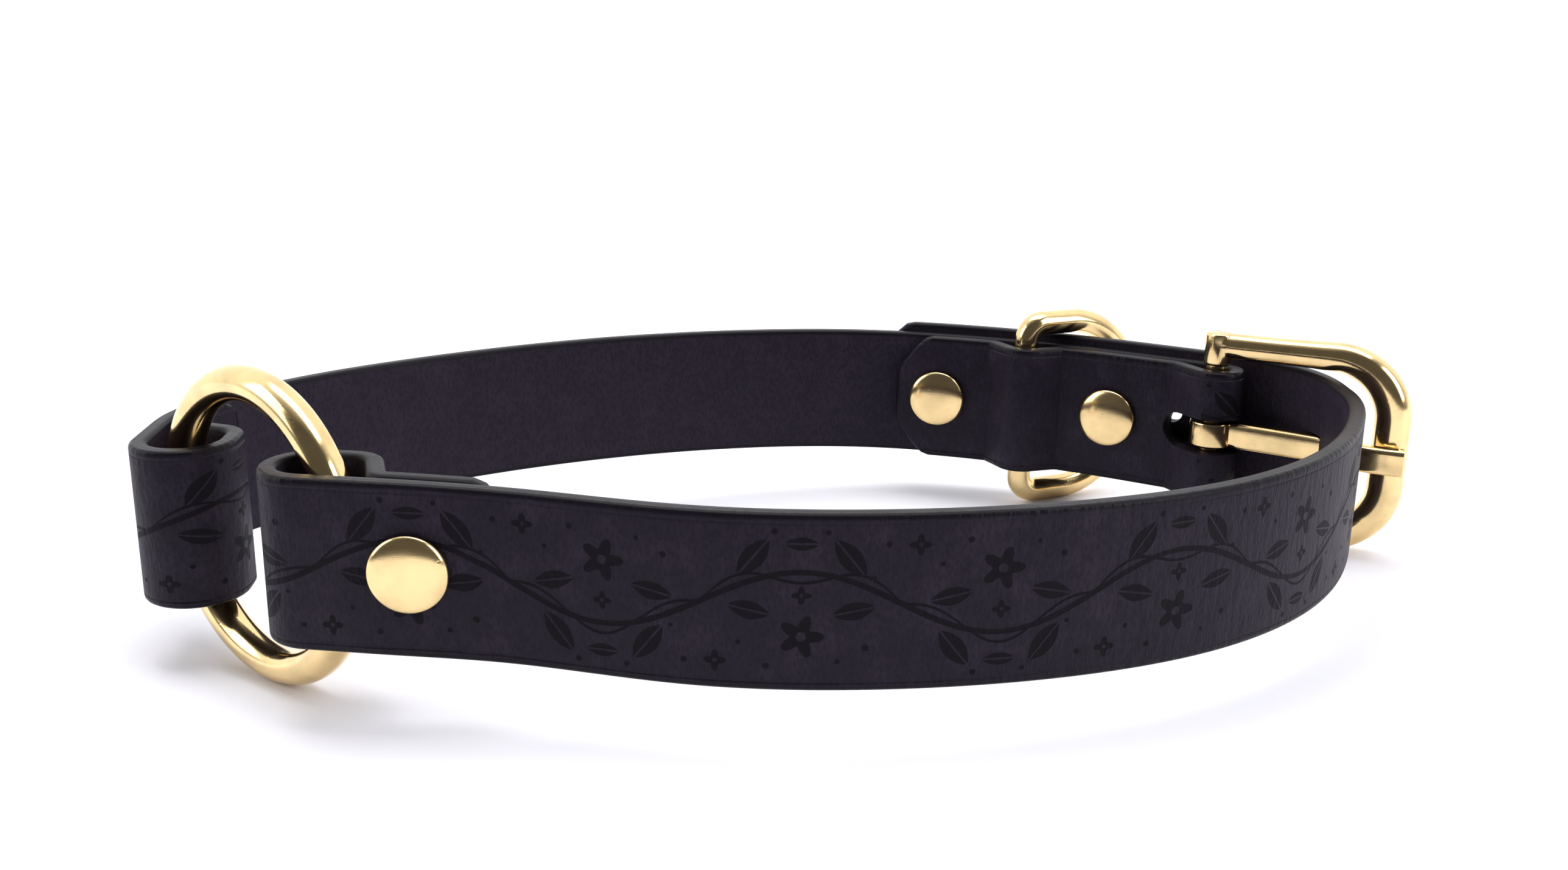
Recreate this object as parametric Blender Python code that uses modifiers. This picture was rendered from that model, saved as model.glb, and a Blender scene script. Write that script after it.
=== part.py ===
"""Buckled leather dog collar with a round ring, a D-ring and two strap lengths.

Two leather straps make the loop. Each is folded round the O-ring at the left. The back strap
is also folded round the buckle's heel bar, over the bar of the D-ring, and the front strap's
free end runs through the buckle and lies on the outside of the back strap.
The straps are worked out in a plan: s runs along the loop's mid-line from the ring along the
front, round the right-hand bend and along the back, and off is the way into the loop.
Metres, +X to the right along the front strap, +Y to the back strap, +Z up.
"""
import math

import bmesh
import bpy
import numpy as np
from mathutils import Matrix, Vector

MM = 0.001

# Leather
STRAP_WIDTH = 25.4 * MM
LEATHER = 2.8 * MM
CLEARANCE = 0.3 * MM
EDGE_ROUND = 0.5 * MM
LOOP_WIDTH = 179.0 * MM
LOOP_DEPTH = 119.0 * MM
FRONT_RISE = 1.5 * MM
BACK_DROP = 1.2 * MM
FRONT_HEADING = math.radians(-7.0)
BACK_HEADING = math.radians(96.0)
RING_FLAP_TAIL = 11.5 * MM
RING_FOLD_SLACK = 0.3 * MM
RING_RIVET_ROOM = 0.3 * MM
BILLET_PAST_HEEL = 68.0 * MM
BILLET_RISE = 1.5 * MM
BILLET_CLIP = 4.0 * MM
CHAPE_CLIP_LENGTH = 7.0 * MM
CHAPE_CLIP_HEIGHT = 8.0 * MM
FLAP_CLIP = 2.5 * MM

# O-ring
RING_INNER = 38.5 * MM
RING_WIRE = 5.5 * MM
RING_YAW = math.radians(39.0)
RING_LEVEL = 0.4 * MM

# Rivets
RIVET_CAP = 11.4 * MM
RIVET_DOME = 2.0 * MM
RIVET_RIM = 0.5 * MM
RIVET_POST = 3.2 * MM
RIVET_HEAD = 7.4 * MM
RIVET_HEAD_THICKNESS = 0.8 * MM
HEEL_TO_RIVET = 20.4 * MM
RIVET_TO_D_BAR = 18.1 * MM
D_BAR_TO_RIVET = 18.5 * MM
RIVET_TO_CHAPE_END = 9.0 * MM

# D-ring
D_WIRE = 4.8 * MM
D_SIDE_ROOM = 5.0 * MM
D_DEPTH = 31.0 * MM
D_STRAIGHT = 10.5 * MM
D_SWING = math.radians(-42.0)

# Buckle
HEEL_BAR = 4.2 * MM
BUCKLE_ARM = 4.8 * MM
FAR_BAR = 6.4 * MM
BUCKLE_SIDE_ROOM = 2.0 * MM
BUCKLE_LENGTH = 32.0 * MM
BUCKLE_GAP = 6.5 * MM
BUCKLE_CORNER = 11.0 * MM
TONGUE_THICKNESS = 3.0 * MM
TONGUE_HEIGHT = 5.0 * MM
TONGUE_WALL = 1.6 * MM
TONGUE_PAST_BAR = 3.0 * MM
SLOT_PAST_BAR = 7.0 * MM
HOLE_PITCH = 25.4 * MM
HOLE_DIAMETER = 4.6 * MM
SPARE_HOLES = 2

# Fineness
PATH_STEP = 4.5 * MM
ARC_STEP = math.radians(24.0)
MERGE = 0.15 * MM
FOOT_RADIUS = LEATHER / 2 + 0.6 * MM
RING_SLOPE = math.radians(65.0)
HEEL_SLOPE = math.radians(35.0)
D_SLOPE = math.radians(42.0)

# Mid-line of the loop: place, x share of LOOP_WIDTH, y share of LOOP_DEPTH, share of the rise
ROUTE = [
    ("front left", -0.273, -0.448, 0.35),
    ("front", -0.128, -0.490, 0.0),
    ("front middle", 0.013, -0.498, 0.0),
    ("front right", 0.170, -0.455, 0.0),
    ("bend start", 0.311, -0.361, 0.0),
    ("bend low", 0.420, -0.210, 0.0),
    ("bend", 0.482, -0.045, 0.0),
    ("bend outermost", 0.505, 0.099, 0.0),
    ("bend high", 0.484, 0.196, 0.0),
    ("heel", 0.4155, 0.273, 0.0),
    ("chape", 0.311, 0.366, 0.0),
    ("D-ring", 0.182, 0.455, 0.0),
    ("back right", 0.039, 0.501, 0.0),
    ("back", -0.110, 0.480, 0.0),
    ("back left", -0.297, 0.384, -0.2),
    ("back low", -0.439, 0.271, -0.8),
    ("ring side", -0.566, 0.085, -1.0),
]
RING_CENTRE = (-0.492, -0.289)

LEATHER_BLACK = (0.030, 0.027, 0.032, 1.0)
BRASS = (0.83, 0.60, 0.26, 1.0)

PITCH = LEATHER + CLEARANCE


def unit(vector):
    return vector / np.linalg.norm(vector)


def heading(angle):
    return np.array([math.cos(angle), math.sin(angle)])


def inward(tangent):
    """The way into the loop, left of the way along it."""
    return np.array([-tangent[1], tangent[0]])


# Ring ends of the straps

class RingEnd:
    """Where a strap is folded round the ring's wire, seen along the strap.

    The wire leans towards the ring's centre at the strap's edges, so the fold leaves room
    for it: slide is how far it moves along the strap, and shift how far into the loop.
    """

    def __init__(self, centre, ring_way, strap_angle, rise):
        major = (RING_INNER + RING_WIRE) / 2
        edge = STRAP_WIDTH / 2 + abs(rise - RING_LEVEL)
        inner = RING_INNER / 2
        lean = inner - math.sqrt(inner**2 - edge**2)
        self.way = heading(strap_angle)
        into = inward(self.way) if ring_way[0] > 0 else -inward(self.way)
        self.slide = float(np.dot(-lean * ring_way, self.way))
        self.shift = float(np.dot(-lean * ring_way, into))
        self.reach = RING_WIRE / 2 + CLEARANCE + LEATHER / 2
        self.wire = self.reach + max(0.0, -self.shift)
        self.abreast = centre + major * ring_way - self.wire * into
        self.top = self.wire + max(0.0, self.shift) + self.reach
        self.straight = self.run_out(PITCH)

    def straight_end(self):
        """Where the strap may start to curve, past the flap's slope beside the wire."""
        return self.abreast + self.way * self.straight

    def run_out(self, off):
        """Where the flap crosses off on its way down beside the wire."""
        return shoulder(self.reach, off - self.wire, RING_SLOPE)

    def rivet(self):
        foot = FOOT_RADIUS * math.tan(RING_SLOPE / 2)
        return self.run_out(PITCH) + foot + RIVET_HEAD / 2 + RING_RIVET_ROOM

    def corners(self):
        """Corners of the fold, from the flap's end to the strap: along, off, radius."""
        apex = min(0.0, self.slide) - RING_FOLD_SLACK - self.top / 2
        half = self.top / 2
        return [
            (self.rivet() + RING_FLAP_TAIL, PITCH, 0.0),
            (self.run_out(PITCH), PITCH, FOOT_RADIUS),
            (self.run_out(self.top), self.top, self.reach),
            (apex, self.top, half),
            (apex, 0.0, half),
        ]


def shoulder(reach, above, slope):
    """How far from a bar's middle a sheet that slopes down over it is, above its middle."""
    return (reach - above * math.cos(slope)) / math.sin(slope)


# The loop's mid-line

class Route:
    """A smooth curve through the loop's places, measured along its length."""

    def __init__(self):
        centre = np.array(RING_CENTRE) * (LOOP_WIDTH, LOOP_DEPTH)
        across = heading(-RING_YAW)
        self.ring_centre = centre
        self.front = RingEnd(centre, across, FRONT_HEADING, FRONT_RISE)
        self.back = RingEnd(centre, -across, BACK_HEADING, -BACK_DROP)
        rows = [(*self.front.straight_end(), FRONT_RISE)]
        for _, x, y, share in ROUTE:
            rise = share * (FRONT_RISE if share > 0 else BACK_DROP)
            rows.append((x * LOOP_WIDTH, y * LOOP_DEPTH, rise))
        rows.append((*self.back.straight_end(), -BACK_DROP))
        start = (*self.front.way, 0.0)
        end = (*-self.back.way, 0.0)
        knots, self.points = clamped_spline(np.array(rows), np.array(start), np.array(end))
        steps = np.linalg.norm(np.diff(self.points[:, :2], axis=0), axis=1)
        self.lengths = self.front.straight + np.concatenate([[0.0], np.cumsum(steps)])
        self.total = self.lengths[-1] + self.back.straight
        names = ["straight"] + [row[0] for row in ROUTE]
        self.places = dict(zip(names, self.lengths[knots]))

    def tangent(self, s):
        gap = 0.5 * MM
        return unit(self.middle(s + gap)[:2] - self.middle(s - gap)[:2])

    def middle(self, s):
        """The mid-line at s; it runs straight on past its two ends."""
        point = np.array([np.interp(s, self.lengths, self.points[:, i]) for i in range(3)])
        point[:2] += min(0.0, s - self.lengths[0]) * self.front.way
        point[:2] -= max(0.0, s - self.lengths[-1]) * self.back.way
        return point

    def at(self, s, off=0.0, up=0.0):
        """The point of the plan at s along the loop and off into it."""
        point = self.middle(s)
        flat = point[:2] + inward(self.tangent(s)) * off
        return Vector((flat[0], flat[1], point[2] + up))

    def billet_rise(self, s):
        """How far the front strap has risen past the back strap's edge at s."""
        start, end = self.places["bend"], self.places["heel"]
        share = min(max((s - start) / (end - start), 0.0), 1.0)
        return BILLET_RISE * share**2 * (3 - 2 * share)

    def inward_at(self, s):
        return Vector((*inward(self.tangent(s)), 0.0))

    def along_at(self, s):
        return Vector((*self.tangent(s), 0.0))


def clamped_spline(rows, start, end, per_span=40):
    """A cubic spline through the rows, with its direction given at both ends."""
    spans = np.linalg.norm(np.diff(rows, axis=0), axis=1)
    count = len(rows)
    system = np.zeros((count, count))
    values = np.zeros((count, 3))
    system[0, 0] = system[-1, -1] = 1.0
    values[0], values[-1] = start, end
    for i in range(1, count - 1):
        before, after = spans[i - 1], spans[i]
        system[i, i - 1:i + 2] = after, 2 * (before + after), before
        rise_before = (rows[i] - rows[i - 1]) / before
        rise_after = (rows[i + 1] - rows[i]) / after
        values[i] = 3 * (after * rise_before + before * rise_after)
    slopes = np.linalg.solve(system, values)
    points = [rows[0]]
    knots = [0]
    for i, span in enumerate(spans):
        for step in range(1, per_span + 1):
            t = step / per_span
            points.append(
                (2 * t**3 - 3 * t**2 + 1) * rows[i]
                + (t**3 - 2 * t**2 + t) * span * slopes[i]
                + (3 * t**2 - 2 * t**3) * rows[i + 1]
                + (t**3 - t**2) * span * slopes[i + 1]
            )
        knots.append(len(points) - 1)
    return knots, np.array(points)


# Paths in the plan

def rounded(corners):
    """The corners (along, off, radius) as a line whose corners are round."""
    spots = [np.array(corner[:2]) for corner in corners]
    line = [spots[0]]
    for i in range(1, len(corners) - 1):
        back = unit(spots[i - 1] - spots[i])
        on = unit(spots[i + 1] - spots[i])
        turn = math.pi - math.acos(max(-1.0, min(1.0, float(np.dot(back, on)))))
        radius = corners[i][2]
        if radius == 0.0 or turn < 1e-4:
            line.append(spots[i])
            continue
        centre = spots[i] + unit(back + on) * radius / math.cos(turn / 2)
        first = spots[i] + back * radius * math.tan(turn / 2) - centre
        last = spots[i] + on * radius * math.tan(turn / 2) - centre
        steps = max(2, math.ceil(turn / ARC_STEP))
        for step in range(steps + 1):
            share = step / steps
            swing = (math.sin((1 - share) * turn) * first + math.sin(share * turn) * last)
            line.append(centre + swing / math.sin(turn) if turn < math.pi - 1e-3
                        else centre + first)
    line.append(spots[-1])
    return line


def stepped(line, step):
    """The line with its long stretches cut into steps, and points that all but meet merged."""
    out = [line[0]]
    for there in line[1:]:
        here = out[-1]
        length = np.linalg.norm(there - here)
        if length < MERGE:
            continue
        count = max(1, math.ceil(length / step))
        out += [here + (there - here) * i / count for i in range(1, count + 1)]
    return out


def over_bar(middle, bar, slope, base):
    """Corners of a flap laid over a bar at middle: up, across its top and down."""
    reach = bar / 2 + CLEARANCE + LEATHER / 2
    top = 2 * reach
    near = shoulder(reach, reach, slope)
    far = shoulder(reach, base - reach, slope)
    return [
        (middle + far, base, FOOT_RADIUS),
        (middle + near, top, reach),
        (middle - near, top, reach),
        (middle - far, base, FOOT_RADIUS),
    ]


def chape_corners(heel):
    """The back strap's fold at the buckle, from its flap's end to the strap."""
    reach = HEEL_BAR / 2 + CLEARANCE + LEATHER / 2
    rivet = heel + HEEL_TO_RIVET
    d_bar = rivet + RIVET_TO_D_BAR
    end = d_bar + D_BAR_TO_RIVET + RIVET_TO_CHAPE_END
    corners = [(end, PITCH, 0.0)]
    corners += over_bar(d_bar, D_WIRE, D_SLOPE, PITCH)
    corners += [
        (heel + shoulder(reach, PITCH - reach, HEEL_SLOPE), PITCH, FOOT_RADIUS),
        (heel + shoulder(reach, reach, HEEL_SLOPE), 2 * reach, reach),
        (heel - reach, 2 * reach, reach),
        (heel - reach, 0.0, reach),
    ]
    return corners


def half_heights(lengths, start_clip, end_clip):
    """Half the strap's height at each length, cut off at the corners of its two ends."""
    total = lengths[-1]
    heights = []
    for length in lengths:
        half = STRAP_WIDTH / 2
        for gone, (clip_length, clip_height) in ((length, start_clip), (total - length, end_clip)):
            if gone < clip_length:
                missing = 1 - gone / clip_length
                half = min(half, STRAP_WIDTH / 2 - clip_height * missing**1.5)
        heights.append(half)
    return heights


# Objects

def clear_scene():
    for thing in list(bpy.data.objects):
        bpy.data.objects.remove(thing, do_unlink=True)


def new_collection(name):
    collection = bpy.data.collections.new(name)
    bpy.context.scene.collection.children.link(collection)
    return collection


def finish_material(name, colour, roughness, metallic):
    material = bpy.data.materials.new(name)
    material.use_nodes = True
    shader = material.node_tree.nodes["Principled BSDF"]
    shader.inputs["Base Color"].default_value = colour
    shader.inputs["Roughness"].default_value = roughness
    shader.inputs["Metallic"].default_value = metallic
    return material


def add_object(name, data, collection):
    thing = bpy.data.objects.new(name, data)
    collection.objects.link(thing)
    return thing


def mesh_from(bm, name):
    mesh = bpy.data.meshes.new(name)
    bmesh.ops.recalc_face_normals(bm, faces=bm.faces[:])
    bm.to_mesh(mesh)
    bm.free()
    return mesh


def smooth(thing, angle=35.0):
    thing.data.shade_smooth()
    thing.data.set_sharp_from_angle(angle=math.radians(angle))


def own_material(thing, colour, roughness, metallic):
    thing.data.materials.clear()
    thing.data.materials.append(finish_material(thing.name, colour, roughness, metallic))


def leather(thing):
    own_material(thing, LEATHER_BLACK, 0.5, 0.0)


def brass(thing):
    own_material(thing, BRASS, 0.2, 1.0)


def cutter(bm, name, cutters):
    thing = add_object(name, mesh_from(bm, name), cutters)
    thing.hide_render = True
    thing.display_type = 'WIRE'
    return thing


def cut(thing, tool):
    boolean = thing.modifiers.new(tool.name, 'BOOLEAN')
    boolean.operation = 'DIFFERENCE'
    boolean.object = tool


def turned_frame(origin, up, ahead):
    """A matrix whose Z is up and whose X is ahead."""
    z = up.normalized()
    x = (ahead - z * ahead.dot(z)).normalized()
    y = z.cross(x)
    matrix = Matrix((x, y, z)).transposed().to_4x4()
    matrix.translation = origin
    return matrix


def add_cylinder(bm, start, end, radius, sides=20):
    way = end - start
    matrix = turned_frame((start + end) / 2, way, way.orthogonal())
    bmesh.ops.create_cone(bm, cap_ends=True, segments=sides, radius1=radius, radius2=radius,
                          depth=way.length, matrix=matrix)


# Straps

def strap(name, route, corners, start_clip, end_clip, rise, collection):
    """A band of leather along the corners, standing on its edge; rise is its lift at s."""
    line = stepped(rounded(corners), PATH_STEP)
    lengths = np.concatenate([[0.0], np.cumsum(
        [np.linalg.norm(b - a) for a, b in zip(line, line[1:])])])
    line, lengths = split_ends(line, lengths, start_clip[0], end_clip[0])
    heights = half_heights(lengths, start_clip, end_clip)
    bm = bmesh.new()
    low = [bm.verts.new(route.at(s, off, rise(s) - half))
           for (s, off), half in zip(line, heights)]
    edges = [bm.edges.new(pair) for pair in zip(low, low[1:])]
    raised = bmesh.ops.extrude_edge_only(bm, edges=edges)["geom"]
    bm.verts.ensure_lookup_table()
    tops = [vert for vert in raised if isinstance(vert, bmesh.types.BMVert)]
    for vert in tops:
        nearest = min(range(len(low)), key=lambda i: (low[i].co - vert.co).length)
        vert.co.z += 2 * heights[nearest]
    thing = add_object(name, mesh_from(bm, name), collection)
    solid = thing.modifiers.new("thickness", 'SOLIDIFY')
    solid.thickness = LEATHER
    solid.offset = 0.0
    solid.use_even_offset = True
    solid.use_quality_normals = True
    edge = thing.modifiers.new("edges", 'BEVEL')
    edge.width = EDGE_ROUND
    edge.segments = 1
    edge.limit_method = 'ANGLE'
    edge.angle_limit = math.radians(50.0)
    return thing


def split_ends(line, lengths, start_length, end_length, cuts=3):
    """The line with extra points where its ends are cut off."""
    total = lengths[-1]
    wanted = [start_length * i / cuts for i in range(1, cuts + 1)]
    wanted += [total - end_length * i / cuts for i in range(1, cuts + 1)]
    kept = [x for x in lengths if all(abs(x - w) > 0.5 * MM for w in wanted)]
    merged = sorted(kept + wanted)
    points = np.array(line)
    out = [np.array([np.interp(x, lengths, points[:, i]) for i in range(2)]) for x in merged]
    return out, np.array(merged)


def front_strap(route, collection):
    """Folded round the ring, along the front, and out over the back strap as the billet."""
    heel = route.places["heel"]
    over = heel - BUCKLE_LENGTH / 2
    corners = route.front.corners()
    corners += [
        (over - BUCKLE_LENGTH / 3, 0.0, 4 * FOOT_RADIUS),
        (heel - HEEL_BAR, -PITCH, 4 * FOOT_RADIUS),
        (heel + BILLET_PAST_HEEL, -PITCH, 0.0),
    ]
    clip = (BILLET_CLIP, BILLET_CLIP)
    thing = strap("front_strap", route, corners, (FLAP_CLIP, FLAP_CLIP), clip,
                  route.billet_rise, collection)
    leather(thing)
    return thing


def back_strap(route, collection):
    """Folded over the D-ring's bar and the heel bar, along the back, and round the ring."""
    corners = chape_corners(route.places["heel"])
    corners += [(route.total - along, off, radius)
                for along, off, radius in reversed(route.back.corners())]
    clip = (CHAPE_CLIP_LENGTH, CHAPE_CLIP_HEIGHT)
    thing = strap("back_strap", route, corners, clip, (FLAP_CLIP, FLAP_CLIP),
                  lambda s: 0.0, collection)
    leather(thing)
    return thing


# Rivets

def rivet_profile():
    """Half the section of a rivet, from the dome's top down: radius, height."""
    cap = RIVET_CAP / 2
    post = RIVET_POST / 2
    grip = 2 * LEATHER + 2 * CLEARANCE - RIVET_HEAD_THICKNESS
    dome = [(cap * math.sin(a), RIVET_RIM + (RIVET_DOME - RIVET_RIM) * math.cos(a))
            for a in (math.radians(d) for d in (0, 22, 44, 64, 80, 90))]
    return dome + [
        (cap - RIVET_RIM, 0.0),
        (post, 0.0),
        (post, -grip),
        (RIVET_HEAD / 2, -grip),
        (RIVET_HEAD / 2, -grip - RIVET_HEAD_THICKNESS),
        (0.0, -grip - RIVET_HEAD_THICKNESS),
    ]


def rivet(name, route, s, cap_inside, collection, cutters):
    """A rivet through both layers at s; its dome is on the inside or on the outside."""
    way = route.inward_at(s) if cap_inside else -route.inward_at(s)
    face = PITCH + LEATHER / 2 + CLEARANCE if cap_inside else -LEATHER / 2 - CLEARANCE
    bm = bmesh.new()
    profile = [bm.verts.new((radius, 0.0, height)) for radius, height in rivet_profile()]
    for pair in zip(profile, profile[1:]):
        bm.edges.new(pair)
    mesh = bpy.data.meshes.new(name)
    bm.to_mesh(mesh)
    bm.free()
    thing = add_object(name, mesh, collection)
    turn = thing.modifiers.new("turned", 'SCREW')
    turn.steps = turn.render_steps = 20
    turn.use_merge_vertices = True
    turn.merge_threshold = 0.01 * MM
    thing.matrix_world = turned_frame(route.at(s, face), way, Vector((0, 0, 1)))
    brass(thing)

    seat = face - PITCH - LEATHER - CLEARANCE if cap_inside else face + PITCH + LEATHER + CLEARANCE
    hole = bmesh.new()
    add_cylinder(hole, route.at(s, face), route.at(s, seat), RIVET_POST / 2 + CLEARANCE)
    through = cutter(hole, name + "_hole", cutters)
    sunk = RIVET_HEAD_THICKNESS + CLEARANCE
    deep = seat + sunk if cap_inside else seat - sunk
    clear = seat - LEATHER if cap_inside else seat + LEATHER
    recess = bmesh.new()
    add_cylinder(recess, route.at(s, deep), route.at(s, clear), RIVET_HEAD / 2 + CLEARANCE)
    return through, cutter(recess, name + "_recess", cutters)


# Rings

def o_ring(route, collection):
    major = (RING_INNER + RING_WIRE) / 2
    middle = Vector((*route.ring_centre, RING_LEVEL))
    across = heading(-RING_YAW)
    frame = turned_frame(middle, Vector((-across[1], across[0], 0.0)), Vector((*across, 0.0)))
    bpy.ops.mesh.primitive_torus_add(major_segments=40, minor_segments=12,
                                     major_radius=major, minor_radius=RING_WIRE / 2)
    thing = bpy.context.object
    thing.name = thing.data.name = "o_ring"
    for owner in list(thing.users_collection):
        owner.objects.unlink(thing)
    collection.objects.link(thing)
    thing.matrix_world = frame
    thing.data.shade_smooth()
    brass(thing)
    return thing


def wire_mesh(name, points, thicknesses, closed, collection, sides=2):
    """A wire along the points as a mesh, with its own thickness at each."""
    curve = bpy.data.curves.new(name, 'CURVE')
    curve.dimensions = '3D'
    curve.bevel_depth = 0.5
    curve.bevel_resolution = sides
    curve.use_fill_caps = True
    spline = curve.splines.new('POLY')
    spline.points.add(len(points) - 1)
    for spot, point, thickness in zip(spline.points, points, thicknesses):
        spot.co = (*point, 1.0)
        spot.radius = thickness
    spline.use_cyclic_u = closed
    wire = add_object(name + "_wire", curve, collection)
    bpy.context.view_layer.update()
    graph = bpy.context.evaluated_depsgraph_get()
    mesh = bpy.data.meshes.new_from_object(wire.evaluated_get(graph))
    mesh.name = name
    bpy.data.objects.remove(wire, do_unlink=True)
    bpy.data.curves.remove(curve)
    bm = bmesh.new()
    bm.from_mesh(mesh)
    bmesh.ops.remove_doubles(bm, verts=bm.verts[:], dist=0.01 * MM)
    bmesh.ops.recalc_face_normals(bm, faces=bm.faces[:])
    bm.to_mesh(mesh)
    bm.free()
    return add_object(name, mesh, collection)


def arc(centre, radii, start, end, steps):
    """Points of an elliptical arc, both ends included; angles in degrees."""
    angles = [math.radians(start + (end - start) * i / steps) for i in range(steps + 1)]
    return [(centre[0] + radii[0] * math.cos(a), centre[1] + radii[1] * math.sin(a))
            for a in angles]


def d_outline():
    """The D-ring's wire from the bar's foot: away from the bar, height."""
    half = (STRAP_WIDTH + D_SIDE_ROOM + D_WIRE) / 2
    corner = 0.75 * D_WIRE
    bow = D_DEPTH - D_WIRE - D_STRAIGHT
    line = arc((corner, -half + corner), (corner, corner), 180, 270, 4)
    line += arc((D_STRAIGHT, 0.0), (bow, half), -90, 90, 18)
    line += arc((corner, half - corner), (corner, corner), 90, 180, 4)
    return line


def d_place(route):
    """The bar's middle and the way that the D points, in the plan."""
    s = route.places["heel"] + HEEL_TO_RIVET + RIVET_TO_D_BAR
    off = LEATHER / 2 + CLEARANCE + D_WIRE / 2
    out = -route.inward_at(s)
    hang = max(0.0, D_SIDE_ROOM / 2 - BILLET_RISE - CLEARANCE)
    return route.at(s, off, -hang), Matrix.Rotation(D_SWING, 3, 'Z') @ out


def d_ring(route, collection):
    """Turns on its bar between the strap and the flap, and hangs on the billet's edge."""
    middle, out = d_place(route)
    points = [(away, 0.0, height) for away, height in d_outline()]
    thing = wire_mesh("d_ring", points, [D_WIRE] * len(points), True, collection)
    thing.matrix_world = turned_frame(middle, Vector((0, 0, 1)), out)
    thing.data.shade_smooth()
    brass(thing)
    return thing


# Buckle

class BucklePlace:
    """Where the buckle lies: its heel bar in the chape, its far bar outside the strap."""

    def __init__(self, route):
        heel_s = route.places["heel"]
        self.heel = route.at(heel_s, LEATHER / 2 + CLEARANCE + HEEL_BAR / 2)
        self.heel.z = 0.0
        out = -(LEATHER / 2 + BUCKLE_GAP + FAR_BAR / 2)
        near, far = heel_s - 2.5 * BUCKLE_LENGTH, heel_s
        for _ in range(40):
            middle = (near + far) / 2
            if (route.at(middle, out) - self.heel).length > BUCKLE_LENGTH:
                near = middle
            else:
                far = middle
        bar = route.at(near, out)
        self.ahead = (Vector((bar.x, bar.y, 0.0)) - self.heel).normalized()
        self.frame = turned_frame(self.heel, Vector((0, 0, 1)), self.ahead)

    def at(self, ahead, inside, up=0.0):
        """A point ahead of the heel bar, inside the loop, and up."""
        return self.frame @ Vector((ahead, inside, up))


def buckle_frame(place, collection, cutters):
    """A round-cornered frame that thickens to its far bar, with a heel bar between hubs."""
    inner = STRAP_WIDTH / 2 + BUCKLE_SIDE_ROOM
    half = inner + BUCKLE_ARM / 2
    corner = min(BUCKLE_CORNER, half)
    line = [(0.0, -half), (BUCKLE_LENGTH * 0.25, -half)]
    line += arc((BUCKLE_LENGTH - corner, -half + corner), (corner, corner), -90, 0, 7)
    line += arc((BUCKLE_LENGTH - corner, half - corner), (corner, corner), 0, 90, 7)
    line += [(BUCKLE_LENGTH * 0.25, half), (0.0, half)]
    thickness = []
    for ahead, height in line:
        share = max(0.0, min(1.0, (ahead / BUCKLE_LENGTH - 0.3) / 0.65))
        thickness.append(BUCKLE_ARM + (FAR_BAR - BUCKLE_ARM) * share**1.5)
    points = [(ahead, 0.0, height) for ahead, height in line]
    thing = wire_mesh("buckle_frame", points, thickness, False, collection, sides=3)
    bars = bmesh.new()
    add_cylinder(bars, Vector((0, 0, -half)), Vector((0, 0, half)), HEEL_BAR / 2, 16)
    heel_bar = add_object("heel_bar", mesh_from(bars, "heel_bar"), cutters)
    hub_inner = STRAP_WIDTH / 2 + 2 * CLEARANCE
    hub_outer = half + BUCKLE_ARM / 2
    tools = [heel_bar]
    for side in (-1, 1):
        hub = bmesh.new()
        add_cylinder(hub, Vector((0, 0, side * hub_inner)), Vector((0, 0, side * hub_outer)),
                     BUCKLE_ARM * 0.52, 16)
        tools.append(add_object("hub_top" if side > 0 else "hub_foot",
                                mesh_from(hub, "hub"), cutters))
    for tool in tools:
        tool.hide_render = True
        tool.display_type = 'WIRE'
        tool.matrix_world = place.frame
        union = thing.modifiers.new(tool.name, 'BOOLEAN')
        union.operation = 'UNION'
        union.object = tool
    thing.matrix_world = place.frame
    smooth(thing)
    brass(thing)
    return thing


def tongue_line():
    """The tongue's middle from the heel bar to its tip: ahead, outside."""
    rest = FAR_BAR / 2 + CLEARANCE + TONGUE_THICKNESS / 2
    loop = HEEL_BAR / 2 + CLEARANCE + TONGUE_WALL
    return [
        (loop * 0.7, 0.0),
        (BUCKLE_LENGTH * 0.62, rest * 0.45),
        (BUCKLE_LENGTH * 0.86, rest * 0.93),
        (BUCKLE_LENGTH, rest),
        (BUCKLE_LENGTH + TONGUE_PAST_BAR, rest * 0.97),
    ]


def flat_bar(line, half_width):
    """The outline of a bar along the line: one side out, the other side back."""
    left, right = [], []
    for i, here in enumerate(line):
        before = np.array(line[max(0, i - 1)])
        after = np.array(line[min(len(line) - 1, i + 1)])
        side = inward(unit(after - before)) * half_width
        left.append(np.array(here) + side)
        right.append(np.array(here) - side)
    return left + right[::-1]


def prism(outline, half_height, name):
    """The outline, given as ahead and outside, raised to half_height each way."""
    bm = bmesh.new()
    foot = [bm.verts.new((ahead, -outside, -half_height)) for ahead, outside in outline]
    face = bm.faces.new(foot)
    top = bmesh.ops.extrude_face_region(bm, geom=[face])["geom"]
    verts = [v for v in top if isinstance(v, bmesh.types.BMVert)]
    bmesh.ops.translate(bm, verts=verts, vec=(0, 0, 2 * half_height))
    return mesh_from(bm, name)


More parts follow.
